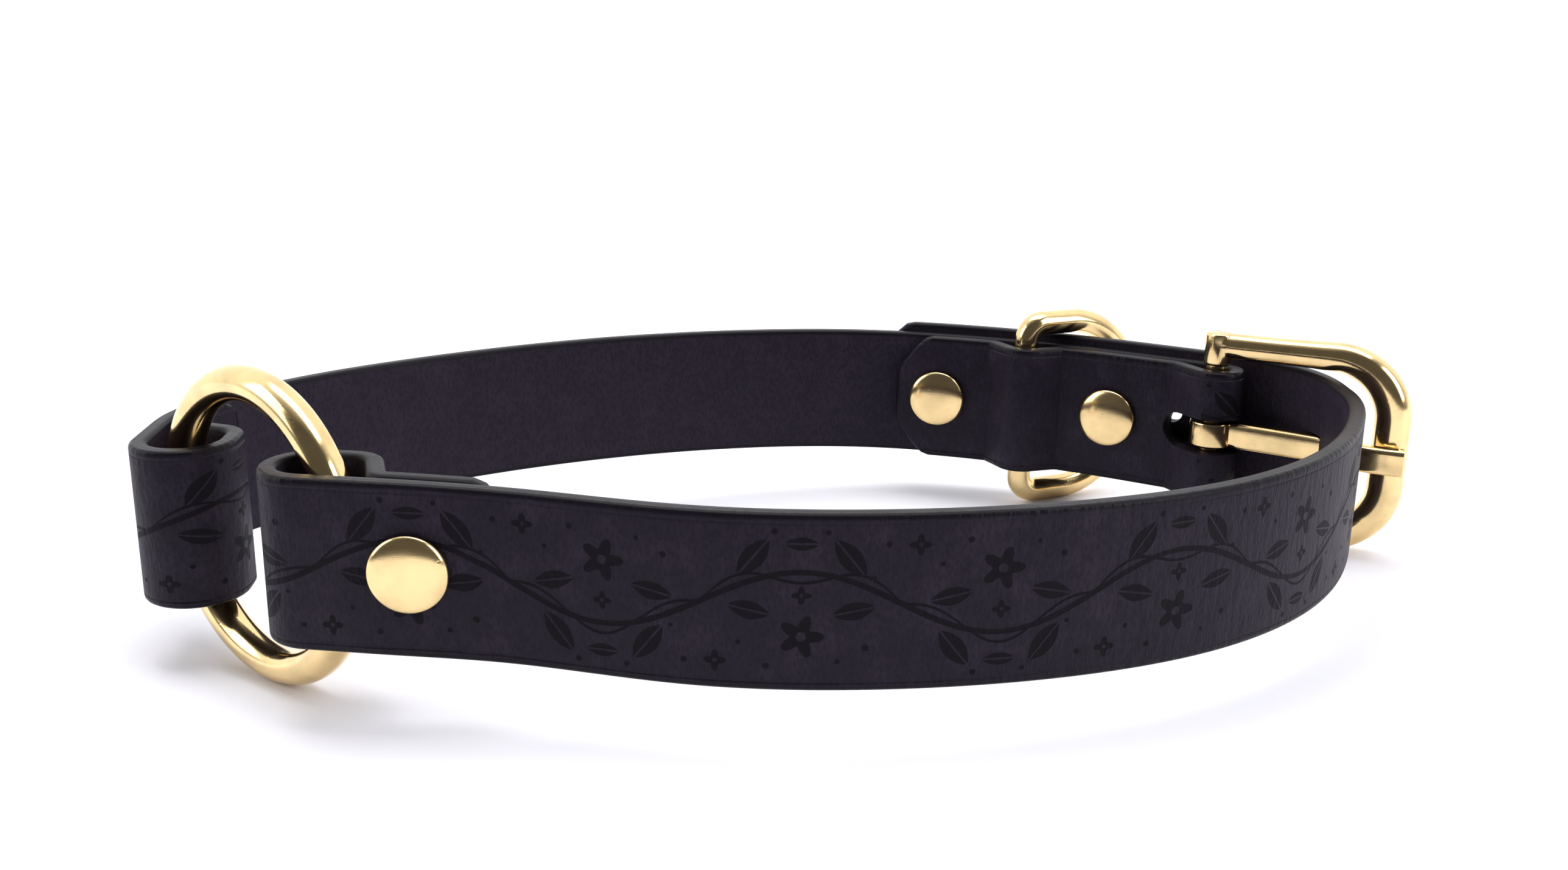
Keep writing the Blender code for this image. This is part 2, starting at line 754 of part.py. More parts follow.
def buckle_tongue(place, collection, cutters):
    """An eye on the heel bar and a bar through the strap's hole to the far bar."""
    shank = prism(flat_bar(tongue_line(), TONGUE_THICKNESS / 2), TONGUE_HEIGHT / 2,
                  "buckle_tongue")
    thing = add_object("buckle_tongue", shank, collection)
    thing.matrix_world = place.frame
    eye = bmesh.new()
    add_cylinder(eye, Vector((0, 0, -TONGUE_HEIGHT / 2)), Vector((0, 0, TONGUE_HEIGHT / 2)),
                 HEEL_BAR / 2 + CLEARANCE + TONGUE_WALL, 20)
    eye = cutter(eye, "tongue_eye", cutters)
    eye.matrix_world = place.frame
    union = thing.modifiers.new("eye", 'BOOLEAN')
    union.operation = 'UNION'
    union.object = eye
    bore = bmesh.new()
    add_cylinder(bore, Vector((0, 0, -TONGUE_HEIGHT)), Vector((0, 0, TONGUE_HEIGHT)),
                 HEEL_BAR / 2 + CLEARANCE, 16)
    bore = cutter(bore, "tongue_bore", cutters)
    bore.matrix_world = place.frame
    cut(thing, bore)
    brass(thing)
    return thing


def tongue_hole(place, cutters):
    """The way that the tongue takes through the front strap."""
    line = tongue_line()
    line[0] = (HEEL_BAR + TONGUE_WALL, line[1][1] * 0.2)
    bar = flat_bar(line[:3], TONGUE_THICKNESS / 2 + CLEARANCE)
    mesh = prism(bar, TONGUE_HEIGHT / 2 + CLEARANCE, "tongue_way")
    tool = add_object("tongue_way", mesh, cutters)
    tool.hide_render = True
    tool.display_type = 'WIRE'
    tool.matrix_world = place.frame
    return tool


def chape_slot(place, route, cutters):
    """The slot in the fold round the heel bar, with round ends, for the tongue's eye."""
    heel = route.places["heel"]
    half = TONGUE_HEIGHT / 2 + 3 * CLEARANCE
    past = HEEL_BAR / 2 + SLOT_PAST_BAR - half
    front = -(HEEL_BAR + 2 * LEATHER)
    outline = [(front, -half), (past, -half)]
    outline += arc((past, 0.0), (half, half), -60, 60, 4)
    outline += [(past, half), (front, half)]
    bm = bmesh.new()
    deep = HEEL_BAR + 2 * LEATHER + 2 * CLEARANCE
    matrix = turned_frame(place.heel, route.inward_at(heel), route.along_at(heel))
    up = matrix.to_3x3().inverted() @ Vector((0, 0, 1))
    foot = [bm.verts.new(matrix @ (Vector((x, 0, -deep)) + up * z)) for x, z in outline]
    face = bm.faces.new(foot)
    top = bmesh.ops.extrude_face_region(bm, geom=[face])["geom"]
    verts = [v for v in top if isinstance(v, bmesh.types.BMVert)]
    bmesh.ops.translate(bm, verts=verts, vec=route.inward_at(heel) * 2 * deep)
    return cutter(bm, "chape_slot", cutters)


def spare_hole(route, number, crossing, cutters):
    """A punched hole in the free end, one hole pitch after another from the tongue's."""
    s = crossing + number * HOLE_PITCH
    bm = bmesh.new()
    rise = route.billet_rise(s)
    add_cylinder(bm, route.at(s, -PITCH - LEATHER / 2 - CLEARANCE, rise),
                 route.at(s, -PITCH + LEATHER / 2 + CLEARANCE, rise), HOLE_DIAMETER / 2, 14)
    return cutter(bm, f"punched_hole_{number}", cutters)


# Standing the collar on the floor

def lowest(thing, up, graph):
    shape = thing.evaluated_get(graph)
    mesh = shape.to_mesh()
    spots = [shape.matrix_world @ vert.co for vert in mesh.vertices]
    shape.to_mesh_clear()
    return min(spots, key=lambda spot: spot.dot(up))


def stand(things, feet):
    """Turn and move everything so that its three feet stand on the floor, centred."""
    bpy.context.view_layer.update()
    graph = bpy.context.evaluated_depsgraph_get()
    up = Vector((0.0, 0.0, 1.0))
    for _ in range(8):
        a, b, c = (lowest(foot, up, graph) for foot in feet)
        up = (b - a).cross(c - a).normalized()
        if up.z < 0:
            up = -up
    level = up.rotation_difference(Vector((0.0, 0.0, 1.0))).to_matrix()
    corners = []
    for thing in things:
        shape = thing.evaluated_get(graph)
        mesh = shape.to_mesh()
        corners += [level @ (shape.matrix_world @ vert.co) for vert in mesh.vertices]
        shape.to_mesh_clear()
    low = [min(corner[i] for corner in corners) for i in range(3)]
    high = [max(corner[i] for corner in corners) for i in range(3)]
    shift = Vector((-(low[0] + high[0]) / 2, -(low[1] + high[1]) / 2, -low[2]))
    return Matrix.Translation(shift) @ level.to_4x4()


def main():
    clear_scene()
    collar = new_collection("dog_collar")
    cutters = new_collection("cutters")
    route = Route()
    place = BucklePlace(route)
    heel = route.places["heel"]

    front = front_strap(route, collar)
    back = back_strap(route, collar)
    ring = o_ring(route, collar)
    d = d_ring(route, collar)
    frame = buckle_frame(place, collar, cutters)
    buckle_tongue(place, collar, cutters)

    for tool in rivet("front_rivet", route, route.front.rivet(), False, collar, cutters):
        cut(front, tool)
    back_s = route.total - route.back.rivet()
    near_s = heel + HEEL_TO_RIVET
    end_s = near_s + RIVET_TO_D_BAR + D_BAR_TO_RIVET
    for name, s, inside in (("ring_rivet", back_s, False), ("buckle_rivet", near_s, True),
                            ("chape_end_rivet", end_s, True)):
        for tool in rivet(name, route, s, inside, collar, cutters):
            cut(back, tool)

    cut(front, tongue_hole(place, cutters))
    cut(back, chape_slot(place, route, cutters))
    for number in range(1, SPARE_HOLES + 1):
        cut(front, spare_hole(route, number, heel - BUCKLE_LENGTH / 2, cutters))

    rest = stand(list(collar.objects), [ring, d, frame])
    for thing in list(collar.objects) + list(cutters.objects):
        thing.matrix_world = rest @ thing.matrix_world
    bpy.context.view_layer.update()


main()
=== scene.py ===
# %% [markdown]
# # A buckled dog collar in black leather and brass
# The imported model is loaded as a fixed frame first. Its solids say where every strap and every
# piece of hardware goes. Here the same pieces are made again with finer meshes and with
# finishes: engraved leather, and cast brass.

# %% Load the frame
import math
from functools import partialmethod

import bmesh
import bpy
import numpy as np
from mathutils import Matrix, Vector


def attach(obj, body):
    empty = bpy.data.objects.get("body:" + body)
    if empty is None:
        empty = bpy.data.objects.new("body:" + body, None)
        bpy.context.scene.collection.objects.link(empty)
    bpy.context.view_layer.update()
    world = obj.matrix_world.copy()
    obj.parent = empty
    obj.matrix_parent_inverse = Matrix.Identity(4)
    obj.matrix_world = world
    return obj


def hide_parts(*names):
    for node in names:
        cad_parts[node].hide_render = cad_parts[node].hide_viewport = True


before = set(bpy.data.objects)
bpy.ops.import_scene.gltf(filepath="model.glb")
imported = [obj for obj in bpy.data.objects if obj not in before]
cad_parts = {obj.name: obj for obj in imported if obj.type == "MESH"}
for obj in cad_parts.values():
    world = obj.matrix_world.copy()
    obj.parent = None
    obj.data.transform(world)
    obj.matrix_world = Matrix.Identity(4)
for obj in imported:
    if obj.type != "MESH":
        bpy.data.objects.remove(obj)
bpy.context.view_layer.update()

# %% [markdown]
# ## Sizes
# The collar was designed in a flat plan, seen from above, and the solids came from these sizes.
# They are repeated here in metres, because the finer meshes follow the same plan. The strap is
# 25.4 mm wide and 2.8 mm thick.

# %% Sizes of the leather
MM = 0.001
STRAP_WIDTH = 25.4 * MM
LEATHER = 2.8 * MM
CLEARANCE = 0.3 * MM
PITCH = LEATHER + CLEARANCE
LOOP_WIDTH = 179.0 * MM
LOOP_DEPTH = 119.0 * MM
FRONT_RISE = 1.5 * MM
BACK_DROP = 1.2 * MM
FRONT_HEADING = math.radians(-7.0)
BACK_HEADING = math.radians(96.0)
RING_FLAP_TAIL = 11.5 * MM
RING_FOLD_SLACK = 0.3 * MM
RING_RIVET_ROOM = 0.3 * MM
BILLET_PAST_HEEL = 68.0 * MM
BILLET_RISE = 1.5 * MM
BILLET_CLIP = 4.0 * MM
CHAPE_CLIP_LENGTH = 7.0 * MM
CHAPE_CLIP_HEIGHT = 8.0 * MM
FLAP_CLIP = 2.5 * MM
print("strap", STRAP_WIDTH / MM, "x", LEATHER / MM, "mm")

# %% Sizes of the hardware
RING_INNER = 38.5 * MM
RING_WIRE = 5.5 * MM
RING_YAW = math.radians(39.0)
RING_LEVEL = 0.4 * MM
RIVET_CAP = 11.4 * MM
RIVET_DOME = 2.0 * MM
RIVET_RIM = 0.5 * MM
RIVET_POST = 3.2 * MM
RIVET_HEAD = 7.4 * MM
RIVET_HEAD_THICKNESS = 0.8 * MM
HEEL_TO_RIVET = 20.4 * MM
RIVET_TO_D_BAR = 18.1 * MM
D_BAR_TO_RIVET = 18.5 * MM
RIVET_TO_CHAPE_END = 9.0 * MM
D_WIRE = 4.8 * MM
D_SIDE_ROOM = 5.0 * MM
D_DEPTH = 31.0 * MM
D_STRAIGHT = 10.5 * MM
D_SWING = math.radians(-42.0)
HEEL_BAR = 4.2 * MM
BUCKLE_ARM = 4.8 * MM
FAR_BAR = 6.4 * MM
BUCKLE_SIDE_ROOM = 2.0 * MM
BUCKLE_LENGTH = 32.0 * MM
BUCKLE_GAP = 6.5 * MM
BUCKLE_CORNER = 11.0 * MM
TONGUE_THICKNESS = 3.0 * MM
TONGUE_HEIGHT = 5.0 * MM
TONGUE_WALL = 1.6 * MM
TONGUE_PAST_BAR = 3.0 * MM
SLOT_PAST_BAR = 7.0 * MM
HOLE_PITCH = 25.4 * MM
HOLE_DIAMETER = 4.6 * MM
SPARE_HOLES = 2
FOOT_RADIUS = LEATHER / 2 + 0.6 * MM
RING_SLOPE = math.radians(65.0)
HEEL_SLOPE = math.radians(35.0)
D_SLOPE = math.radians(42.0)
print("O-ring", RING_INNER / MM, "mm inside, buckle", BUCKLE_LENGTH / MM, "mm long")

# %% Places on the loop's mid-line: x share of the width, y share of the depth, share of the rise
ROUTE = [
    ("front left", -0.273, -0.448, 0.35),
    ("front", -0.128, -0.490, 0.0),
    ("front middle", 0.013, -0.498, 0.0),
    ("front right", 0.170, -0.455, 0.0),
    ("bend start", 0.311, -0.361, 0.0),
    ("bend low", 0.420, -0.210, 0.0),
    ("bend", 0.482, -0.045, 0.0),
    ("bend outermost", 0.505, 0.099, 0.0),
    ("bend high", 0.484, 0.196, 0.0),
    ("heel", 0.4155, 0.273, 0.0),
    ("chape", 0.311, 0.366, 0.0),
    ("D-ring", 0.182, 0.455, 0.0),
    ("back right", 0.039, 0.501, 0.0),
    ("back", -0.110, 0.480, 0.0),
    ("back left", -0.297, 0.384, -0.2),
    ("back low", -0.439, 0.271, -0.8),
    ("ring side", -0.566, 0.085, -1.0),
]
RING_CENTRE = (-0.492, -0.289)

# %% [markdown]
# ## Standing up
# On the floor the collar rests on the O-ring, the D-ring and the buckle, so the plan is tilted
# by about a degree and a half. One matrix takes every point of the plan to its place.

# %% The tilt and the shift of the plan
STAND_TILT = (-0.002468, 0.025154, -0.000031)
STAND_SHIFT = (0.004706, -0.001228, 0.022042)


def stand():
    turn = Matrix.Rotation(STAND_TILT[2], 4, 'Z') @ Matrix.Rotation(STAND_TILT[1], 4, 'Y')
    return Matrix.Translation(STAND_SHIFT) @ turn @ Matrix.Rotation(STAND_TILT[0], 4, 'X')


STAND = stand()
print("tilt", round(math.degrees(math.acos(STAND[2][2])), 2), "degrees")

# %% [markdown]
# ## The mid-line
# A strap of leather takes a smooth curve between the places that hold it. A cubic spline through
# a table of places gives that curve: s is the length along it, off is the way into the loop.

# %% Directions in the plan
def unit(vector):
    return vector / np.linalg.norm(vector)


def heading(angle):
    return np.array([math.cos(angle), math.sin(angle)])


def inward(tangent):
    return np.array([-tangent[1], tangent[0]])


# %% How a flap runs down beside a bar
def shoulder(reach, above, slope):
    """How far from a bar's middle a sheet that slopes down over it is, above its middle."""
    return (reach - above * math.cos(slope)) / math.sin(slope)


# %% The fold round the O-ring
class RingEnd:
    """Where a strap is folded round the ring's wire, seen along the strap."""

    def __init__(self, centre, ring_way, strap_angle, rise):
        major = (RING_INNER + RING_WIRE) / 2
        edge = STRAP_WIDTH / 2 + abs(rise - RING_LEVEL)
        inner = RING_INNER / 2
        lean = inner - math.sqrt(inner**2 - edge**2)
        self.way = heading(strap_angle)
        into = inward(self.way) if ring_way[0] > 0 else -inward(self.way)
        self.slide = float(np.dot(-lean * ring_way, self.way))
        self.shift = float(np.dot(-lean * ring_way, into))
        self.reach = RING_WIRE / 2 + CLEARANCE + LEATHER / 2
        self.wire = self.reach + max(0.0, -self.shift)
        self.abreast = centre + major * ring_way - self.wire * into
        self.top = self.wire + max(0.0, self.shift) + self.reach
        self.straight = self.run_out(PITCH)

    def straight_end(self):
        return self.abreast + self.way * self.straight

    def run_out(self, off):
        return shoulder(self.reach, off - self.wire, RING_SLOPE)

    def rivet(self):
        foot = FOOT_RADIUS * math.tan(RING_SLOPE / 2)
        return self.run_out(PITCH) + foot + RIVET_HEAD / 2 + RING_RIVET_ROOM

    def corners(self):
        """Corners of the fold, from the flap's end to the strap: along, off, radius."""
        apex = min(0.0, self.slide) - RING_FOLD_SLACK - self.top / 2
        half = self.top / 2
        return [
            (self.rivet() + RING_FLAP_TAIL, PITCH, 0.0),
            (self.run_out(PITCH), PITCH, FOOT_RADIUS),
            (self.run_out(self.top), self.top, self.reach),
            (apex, self.top, half),
            (apex, 0.0, half),
        ]


# %% The spline
def clamped_spline(rows, start, end, per_span=40):
    """A cubic spline through the rows, with its direction given at both ends."""
    spans = np.linalg.norm(np.diff(rows, axis=0), axis=1)
    count = len(rows)
    system = np.zeros((count, count))
    values = np.zeros((count, 3))
    system[0, 0] = system[-1, -1] = 1.0
    values[0], values[-1] = start, end
    for i in range(1, count - 1):
        before, after = spans[i - 1], spans[i]
        system[i, i - 1:i + 2] = after, 2 * (before + after), before
        rise_before = (rows[i] - rows[i - 1]) / before
        rise_after = (rows[i + 1] - rows[i]) / after
        values[i] = 3 * (after * rise_before + before * rise_after)
    slopes = np.linalg.solve(system, values)
    points = [rows[0]]
    knots = [0]
    for i, span in enumerate(spans):
        for step in range(1, per_span + 1):
            t = step / per_span
            points.append(
                (2 * t**3 - 3 * t**2 + 1) * rows[i]
                + (t**3 - 2 * t**2 + t) * span * slopes[i]
                + (3 * t**2 - 2 * t**3) * rows[i + 1]
                + (t**3 - t**2) * span * slopes[i + 1]
            )
        knots.append(len(points) - 1)
    return knots, np.array(points)


# %% The loop's mid-line, measured along its length
class Route:
    def __init__(self):
        centre = np.array(RING_CENTRE) * (LOOP_WIDTH, LOOP_DEPTH)
        across = heading(-RING_YAW)
        self.ring_centre = centre
        self.front = RingEnd(centre, across, FRONT_HEADING, FRONT_RISE)
        self.back = RingEnd(centre, -across, BACK_HEADING, -BACK_DROP)
        rows = [(*self.front.straight_end(), FRONT_RISE)]
        for _, x, y, share in ROUTE:
            rise = share * (FRONT_RISE if share > 0 else BACK_DROP)
            rows.append((x * LOOP_WIDTH, y * LOOP_DEPTH, rise))
        rows.append((*self.back.straight_end(), -BACK_DROP))
        start = (*self.front.way, 0.0)
        end = (*-self.back.way, 0.0)
        knots, self.points = clamped_spline(np.array(rows), np.array(start), np.array(end))
        steps = np.linalg.norm(np.diff(self.points[:, :2], axis=0), axis=1)
        self.lengths = self.front.straight + np.concatenate([[0.0], np.cumsum(steps)])
        self.total = self.lengths[-1] + self.back.straight
        names = ["straight"] + [row[0] for row in ROUTE]
        self.places = dict(zip(names, self.lengths[knots]))

    def tangent(self, s):
        gap = 0.5 * MM
        return unit(self.middle(s + gap)[:2] - self.middle(s - gap)[:2])

    def middle(self, s):
        """The mid-line at s; it runs straight on past its two ends."""
        point = np.array([np.interp(s, self.lengths, self.points[:, i]) for i in range(3)])
        point[:2] += min(0.0, s - self.lengths[0]) * self.front.way
        point[:2] -= max(0.0, s - self.lengths[-1]) * self.back.way
        return point

    def at(self, s, off, up=0.0):
        """The point at s, off into the loop from the mid-line and up from its height."""
        point = self.middle(s)
        flat = point[:2] + inward(self.tangent(s)) * off
        return Vector((flat[0], flat[1], point[2] + up))

    def billet_rise(self, s):
        start, end = self.places["bend"], self.places["heel"]
        share = min(max((s - start) / (end - start), 0.0), 1.0)
        return BILLET_RISE * share**2 * (3 - 2 * share)

    def inward_at(self, s):
        return Vector((*inward(self.tangent(s)), 0.0))

    def along_at(self, s):
        return Vector((*self.tangent(s), 0.0))


LOOP = Route()
HEEL = LOOP.places["heel"]
print("mid-line", round(LOOP.total / MM, 1), "mm, heel bar at", round(HEEL / MM, 1), "mm")

# %% [markdown]
# ## The straps
# A strap is a band of leather that stands on its edge. Its line in the plan is a row of corners
# with round bends: round the ring's wire, over the D-ring's bar, round the heel bar. One row of
# vertices along that line is extruded upwards, thickened, and its edges are bevelled round, as
# a maker bevels and burnishes them.

# %% Fineness of the leather, and short helpers
PATH_STEP = 1.6 * MM
ARC_STEP = math.radians(7.0)
MERGE = 0.12 * MM
EDGE_ROUND = 0.75 * MM
EDGE_ANGLE = math.radians(50.0)
EDGE_SEGMENTS = 4


def rounded(corners):
    """The corners (along, off, radius) as a line whose corners are round."""
    spots = [np.array(corner[:2]) for corner in corners]
    line = [spots[0]]
    for i in range(1, len(corners) - 1):
        back = unit(spots[i - 1] - spots[i])
        on = unit(spots[i + 1] - spots[i])
        turn = math.pi - math.acos(max(-1.0, min(1.0, float(np.dot(back, on)))))
        radius = corners[i][2]
        if radius == 0.0 or turn < 1e-4:
            line.append(spots[i])
            continue
        centre = spots[i] + unit(back + on) * radius / math.cos(turn / 2)
        first = spots[i] + back * radius * math.tan(turn / 2) - centre
        last = spots[i] + on * radius * math.tan(turn / 2) - centre
        steps = max(2, math.ceil(turn / ARC_STEP))
        for step in range(steps + 1):
            share = step / steps
            swing = math.sin((1 - share) * turn) * first + math.sin(share * turn) * last
            line.append(centre + swing / math.sin(turn))
    line.append(spots[-1])
    return line


def stepped(line, step):
    """The line with its long stretches cut into steps, and points that all but meet merged."""
    out = [line[0]]
    for there in line[1:]:
        here = out[-1]
        length = np.linalg.norm(there - here)
        if length < MERGE:
            continue
        count = max(1, math.ceil(length / step))
        out += [here + (there - here) * i / count for i in range(1, count + 1)]
    return out


# %% Corners of the two straps
def over_bar(middle, bar, slope, base):
    reach = bar / 2 + CLEARANCE + LEATHER / 2
    near = shoulder(reach, reach, slope)
    far = shoulder(reach, base - reach, slope)
    return [
        (middle + far, base, FOOT_RADIUS),
        (middle + near, 2 * reach, reach),
        (middle - near, 2 * reach, reach),
        (middle - far, base, FOOT_RADIUS),
    ]


def front_corners(route):
    return route.front.corners() + [
        (HEEL - BUCKLE_LENGTH / 2 - BUCKLE_LENGTH / 3, 0.0, 4 * FOOT_RADIUS),
        (HEEL - HEEL_BAR, -PITCH, 4 * FOOT_RADIUS),
        (HEEL + BILLET_PAST_HEEL, -PITCH, 0.0),
    ]


def back_corners(route):
    reach = HEEL_BAR / 2 + CLEARANCE + LEATHER / 2
    d_bar = HEEL + HEEL_TO_RIVET + RIVET_TO_D_BAR
    end = d_bar + D_BAR_TO_RIVET + RIVET_TO_CHAPE_END
    chape = [(end, PITCH, 0.0)] + over_bar(d_bar, D_WIRE, D_SLOPE, PITCH) + [
        (HEEL + shoulder(reach, PITCH - reach, HEEL_SLOPE), PITCH, FOOT_RADIUS),
        (HEEL + shoulder(reach, reach, HEEL_SLOPE), 2 * reach, reach),
        (HEEL - reach, 2 * reach, reach),
        (HEEL - reach, 0.0, reach),
    ]
    return chape + [(route.total - along, off, radius)
                    for along, off, radius in reversed(route.back.corners())]


# %% A band along the corners
def half_height(length, total, start_clip, end_clip):
    half = STRAP_WIDTH / 2
    for gone, (clip_length, clip_height) in ((length, start_clip), (total - length, end_clip)):
        if gone < clip_length:
            missing = 1 - gone / clip_length
            half = min(half, STRAP_WIDTH / 2 - clip_height * missing**1.5)
    return half


def baked(thing):
    """The mesh that the modifiers or the curve of a piece give."""
    bpy.context.view_layer.update()
    graph = bpy.context.evaluated_depsgraph_get()
    return bpy.data.meshes.new_from_object(thing.evaluated_get(graph))


def apply_modifiers(thing):
    """Bake the modifiers into the mesh, so that the piece is plain geometry."""
    mesh = baked(thing)
    thing.modifiers.clear()
    thing.data = mesh
    mesh.name = thing.name


def linked(name, data):
    thing = bpy.data.objects.new(name, data)
    bpy.context.scene.collection.objects.link(thing)
    return thing


def new_piece(name, bm):
    mesh = bpy.data.meshes.new(name)
    bm.to_mesh(mesh)
    bm.free()
    return linked(name, mesh)


def level(s):
    """The rise of a strap that stays at the mid-line's own height."""
    return 0.0


def band(name, route, corners, start_clip, end_clip, rise):
    line = stepped(rounded(corners), PATH_STEP)
    lengths = np.concatenate([[0.0], np.cumsum(
        [np.linalg.norm(b - a) for a, b in zip(line, line[1:])])])
    total = lengths[-1]
    halves = [half_height(x, total, start_clip, end_clip) for x in lengths]
    bm = bmesh.new()
    low = [bm.verts.new(route.at(s, off, rise(s) - half))
           for (s, off), half in zip(line, halves)]
    edges = [bm.edges.new(pair) for pair in zip(low, low[1:])]
    upper = bmesh.ops.extrude_edge_only(bm, edges=edges)["geom"]
    for edge in [e for e in bm.edges if e.verts[0] in low or e.verts[1] in low]:
        foot, top = edge.verts if edge.verts[0] in low else reversed(edge.verts)
        if top in upper:
            top.co.z += 2 * halves[low.index(foot)]
    bmesh.ops.recalc_face_normals(bm, faces=bm.faces[:])
    thing = new_piece(name, bm)
    solid = thing.modifiers.new("thickness", 'SOLIDIFY')
    solid.thickness = LEATHER
    solid.offset = 0.0
    solid.use_even_offset = True
    solid.use_quality_normals = True
    edge = thing.modifiers.new("edges", 'BEVEL')
    edge.width = EDGE_ROUND
    edge.segments = EDGE_SEGMENTS
    edge.limit_method = 'ANGLE'
    edge.angle_limit = EDGE_ANGLE
    apply_modifiers(thing)
    print(name, "line", round(total / MM, 1), "mm,", len(thing.data.polygons), "faces")
    return thing, line, lengths


front_strap, front_line, front_lengths = band(
    "front_leather", LOOP, front_corners(LOOP), (FLAP_CLIP, FLAP_CLIP),
    (BILLET_CLIP, BILLET_CLIP), LOOP.billet_rise)
back_strap, back_line, back_lengths = band(
    "back_leather", LOOP, back_corners(LOOP), (CHAPE_CLIP_LENGTH, CHAPE_CLIP_HEIGHT),
    (FLAP_CLIP, FLAP_CLIP), level)

# %% [markdown]
# ## Holes
# The maker punches the strap: an oblong slot where the tongue's eye sits in the fold, a hole
# that the tongue goes through, spare holes in the free end, and a hole with a sunk seat for
# each rivet. Each is cut by a Boolean with a plain tool, which is deleted afterwards.

# %% Frames and tools
def turned_frame(origin, up, ahead):
    z = up.normalized()
    x = (ahead - z * ahead.dot(z)).normalized()
    matrix = Matrix((x, z.cross(x), z)).transposed().to_4x4()
    matrix.translation = origin
    return matrix


def rod(start, end, radius, sides=32):
    bm = bmesh.new()
    way = end - start
    bmesh.ops.create_cone(bm, cap_ends=True, segments=sides, radius1=radius, radius2=radius,
                          depth=way.length,
                          matrix=turned_frame((start + end) / 2, way, way.orthogonal()))
    return bm


def arc(centre, radii, start, end, steps):
    angles = [math.radians(start + (end - start) * i / steps) for i in range(steps + 1)]
    return [(centre[0] + radii[0] * math.cos(a), centre[1] + radii[1] * math.sin(a))
            for a in angles]


def raised(spots, way):
    """The face with its corners at the spots, raised along the way."""
    bm = bmesh.new()
    foot = [bm.verts.new(spot) for spot in spots]
    top = bmesh.ops.extrude_face_region(bm, geom=[bm.faces.new(foot)])["geom"]
    verts = [v for v in top if isinstance(v, bmesh.types.BMVert)]
    bmesh.ops.translate(bm, verts=verts, vec=way)
    bmesh.ops.recalc_face_normals(bm, faces=bm.faces[:])
    return bm


def prism(outline, half_height):
    """The outline, given as ahead and outside, raised to half_height each way."""
    return raised([(ahead, -outside, -half_height) for ahead, outside in outline],
                  (0, 0, 2 * half_height))


def cut_with(thing, tool, operation='DIFFERENCE'):
    boolean = thing.modifiers.new("cut", 'BOOLEAN')
    boolean.operation = operation
    boolean.object = tool
    apply_modifiers(thing)
    bpy.data.objects.remove(tool, do_unlink=True)


# %% Where the buckle lies
HALVINGS = 40


def buckle_place(route):
    """The heel bar lies in the chape, and the far bar outside the strap."""
    heel = route.at(HEEL, LEATHER / 2 + CLEARANCE + HEEL_BAR / 2)
    heel.z = 0.0
    out = -(LEATHER / 2 + BUCKLE_GAP + FAR_BAR / 2)
    near, far = HEEL - 2.5 * BUCKLE_LENGTH, HEEL
    for _ in range(HALVINGS):
        middle = (near + far) / 2
        if (route.at(middle, out) - heel).length > BUCKLE_LENGTH:
            near = middle
        else:
            far = middle
    bar = route.at(near, out)
    ahead = (Vector((bar.x, bar.y, 0.0)) - heel).normalized()
    return heel, turned_frame(heel, Vector((0, 0, 1)), ahead)


BUCKLE_HEEL, BUCKLE_FRAME = buckle_place(LOOP)
print("buckle heel at", [round(x / MM, 1) for x in BUCKLE_HEEL])


# %% The tongue's line, the way it takes through the strap, and the slot in the fold
def tongue_line():
    rest = FAR_BAR / 2 + CLEARANCE + TONGUE_THICKNESS / 2
    loop = HEEL_BAR / 2 + CLEARANCE + TONGUE_WALL
    return [
        (loop * 0.7, 0.0),
        (BUCKLE_LENGTH * 0.62, rest * 0.45),
        (BUCKLE_LENGTH * 0.86, rest * 0.93),
        (BUCKLE_LENGTH, rest),
        (BUCKLE_LENGTH + TONGUE_PAST_BAR, rest * 0.97),
    ]


def flat_bar(line, half_width):
    left, right = [], []
    for i, here in enumerate(line):
        before = np.array(line[max(0, i - 1)])
        after = np.array(line[min(len(line) - 1, i + 1)])
        side = inward(unit(after - before)) * half_width
        left.append(np.array(here) + side)
        right.append(np.array(here) - side)
    return left + right[::-1]


def tongue_way():
    line = tongue_line()
    line[0] = (HEEL_BAR + TONGUE_WALL, line[1][1] * 0.2)
    bm = prism(flat_bar(line[:3], TONGUE_THICKNESS / 2 + CLEARANCE), TONGUE_HEIGHT / 2 + CLEARANCE)
    bm.transform(BUCKLE_FRAME)
    return new_piece("tongue_way", bm)


def chape_slot(route):
    half = TONGUE_HEIGHT / 2 + 3 * CLEARANCE
    past = HEEL_BAR / 2 + SLOT_PAST_BAR - half
    front = -(HEEL_BAR + 2 * LEATHER)
    deep = HEEL_BAR + 2 * LEATHER + 2 * CLEARANCE
    outline = [(front, -half), (past, -half)]
    outline += arc((past, 0.0), (half, half), -80, 80, 16)
    outline += [(past, half), (front, half)]
    matrix = turned_frame(BUCKLE_HEEL, route.inward_at(HEEL), route.along_at(HEEL))
    up = matrix.to_3x3().inverted() @ Vector((0, 0, 1))
    spots = [matrix @ (Vector((x, 0, -deep)) + up * z) for x, z in outline]
    return new_piece("chape_slot", raised(spots, route.inward_at(HEEL) * 2 * deep))


# %% Cut the holes for the tongue, and the spare ones
cut_with(front_strap, tongue_way())
cut_with(back_strap, chape_slot(LOOP))
for number in range(1, SPARE_HOLES + 1):
    s = HEEL - BUCKLE_LENGTH / 2 + number * HOLE_PITCH
    rise = LOOP.billet_rise(s)
    hole = rod(LOOP.at(s, -PITCH - LEATHER, rise),
               LOOP.at(s, -PITCH + LEATHER / 2 + CLEARANCE, rise), HOLE_DIAMETER / 2)
    cut_with(front_strap, new_piece("punch", hole))
print("front", len(front_strap.data.polygons), "back", len(back_strap.data.polygons), "faces")

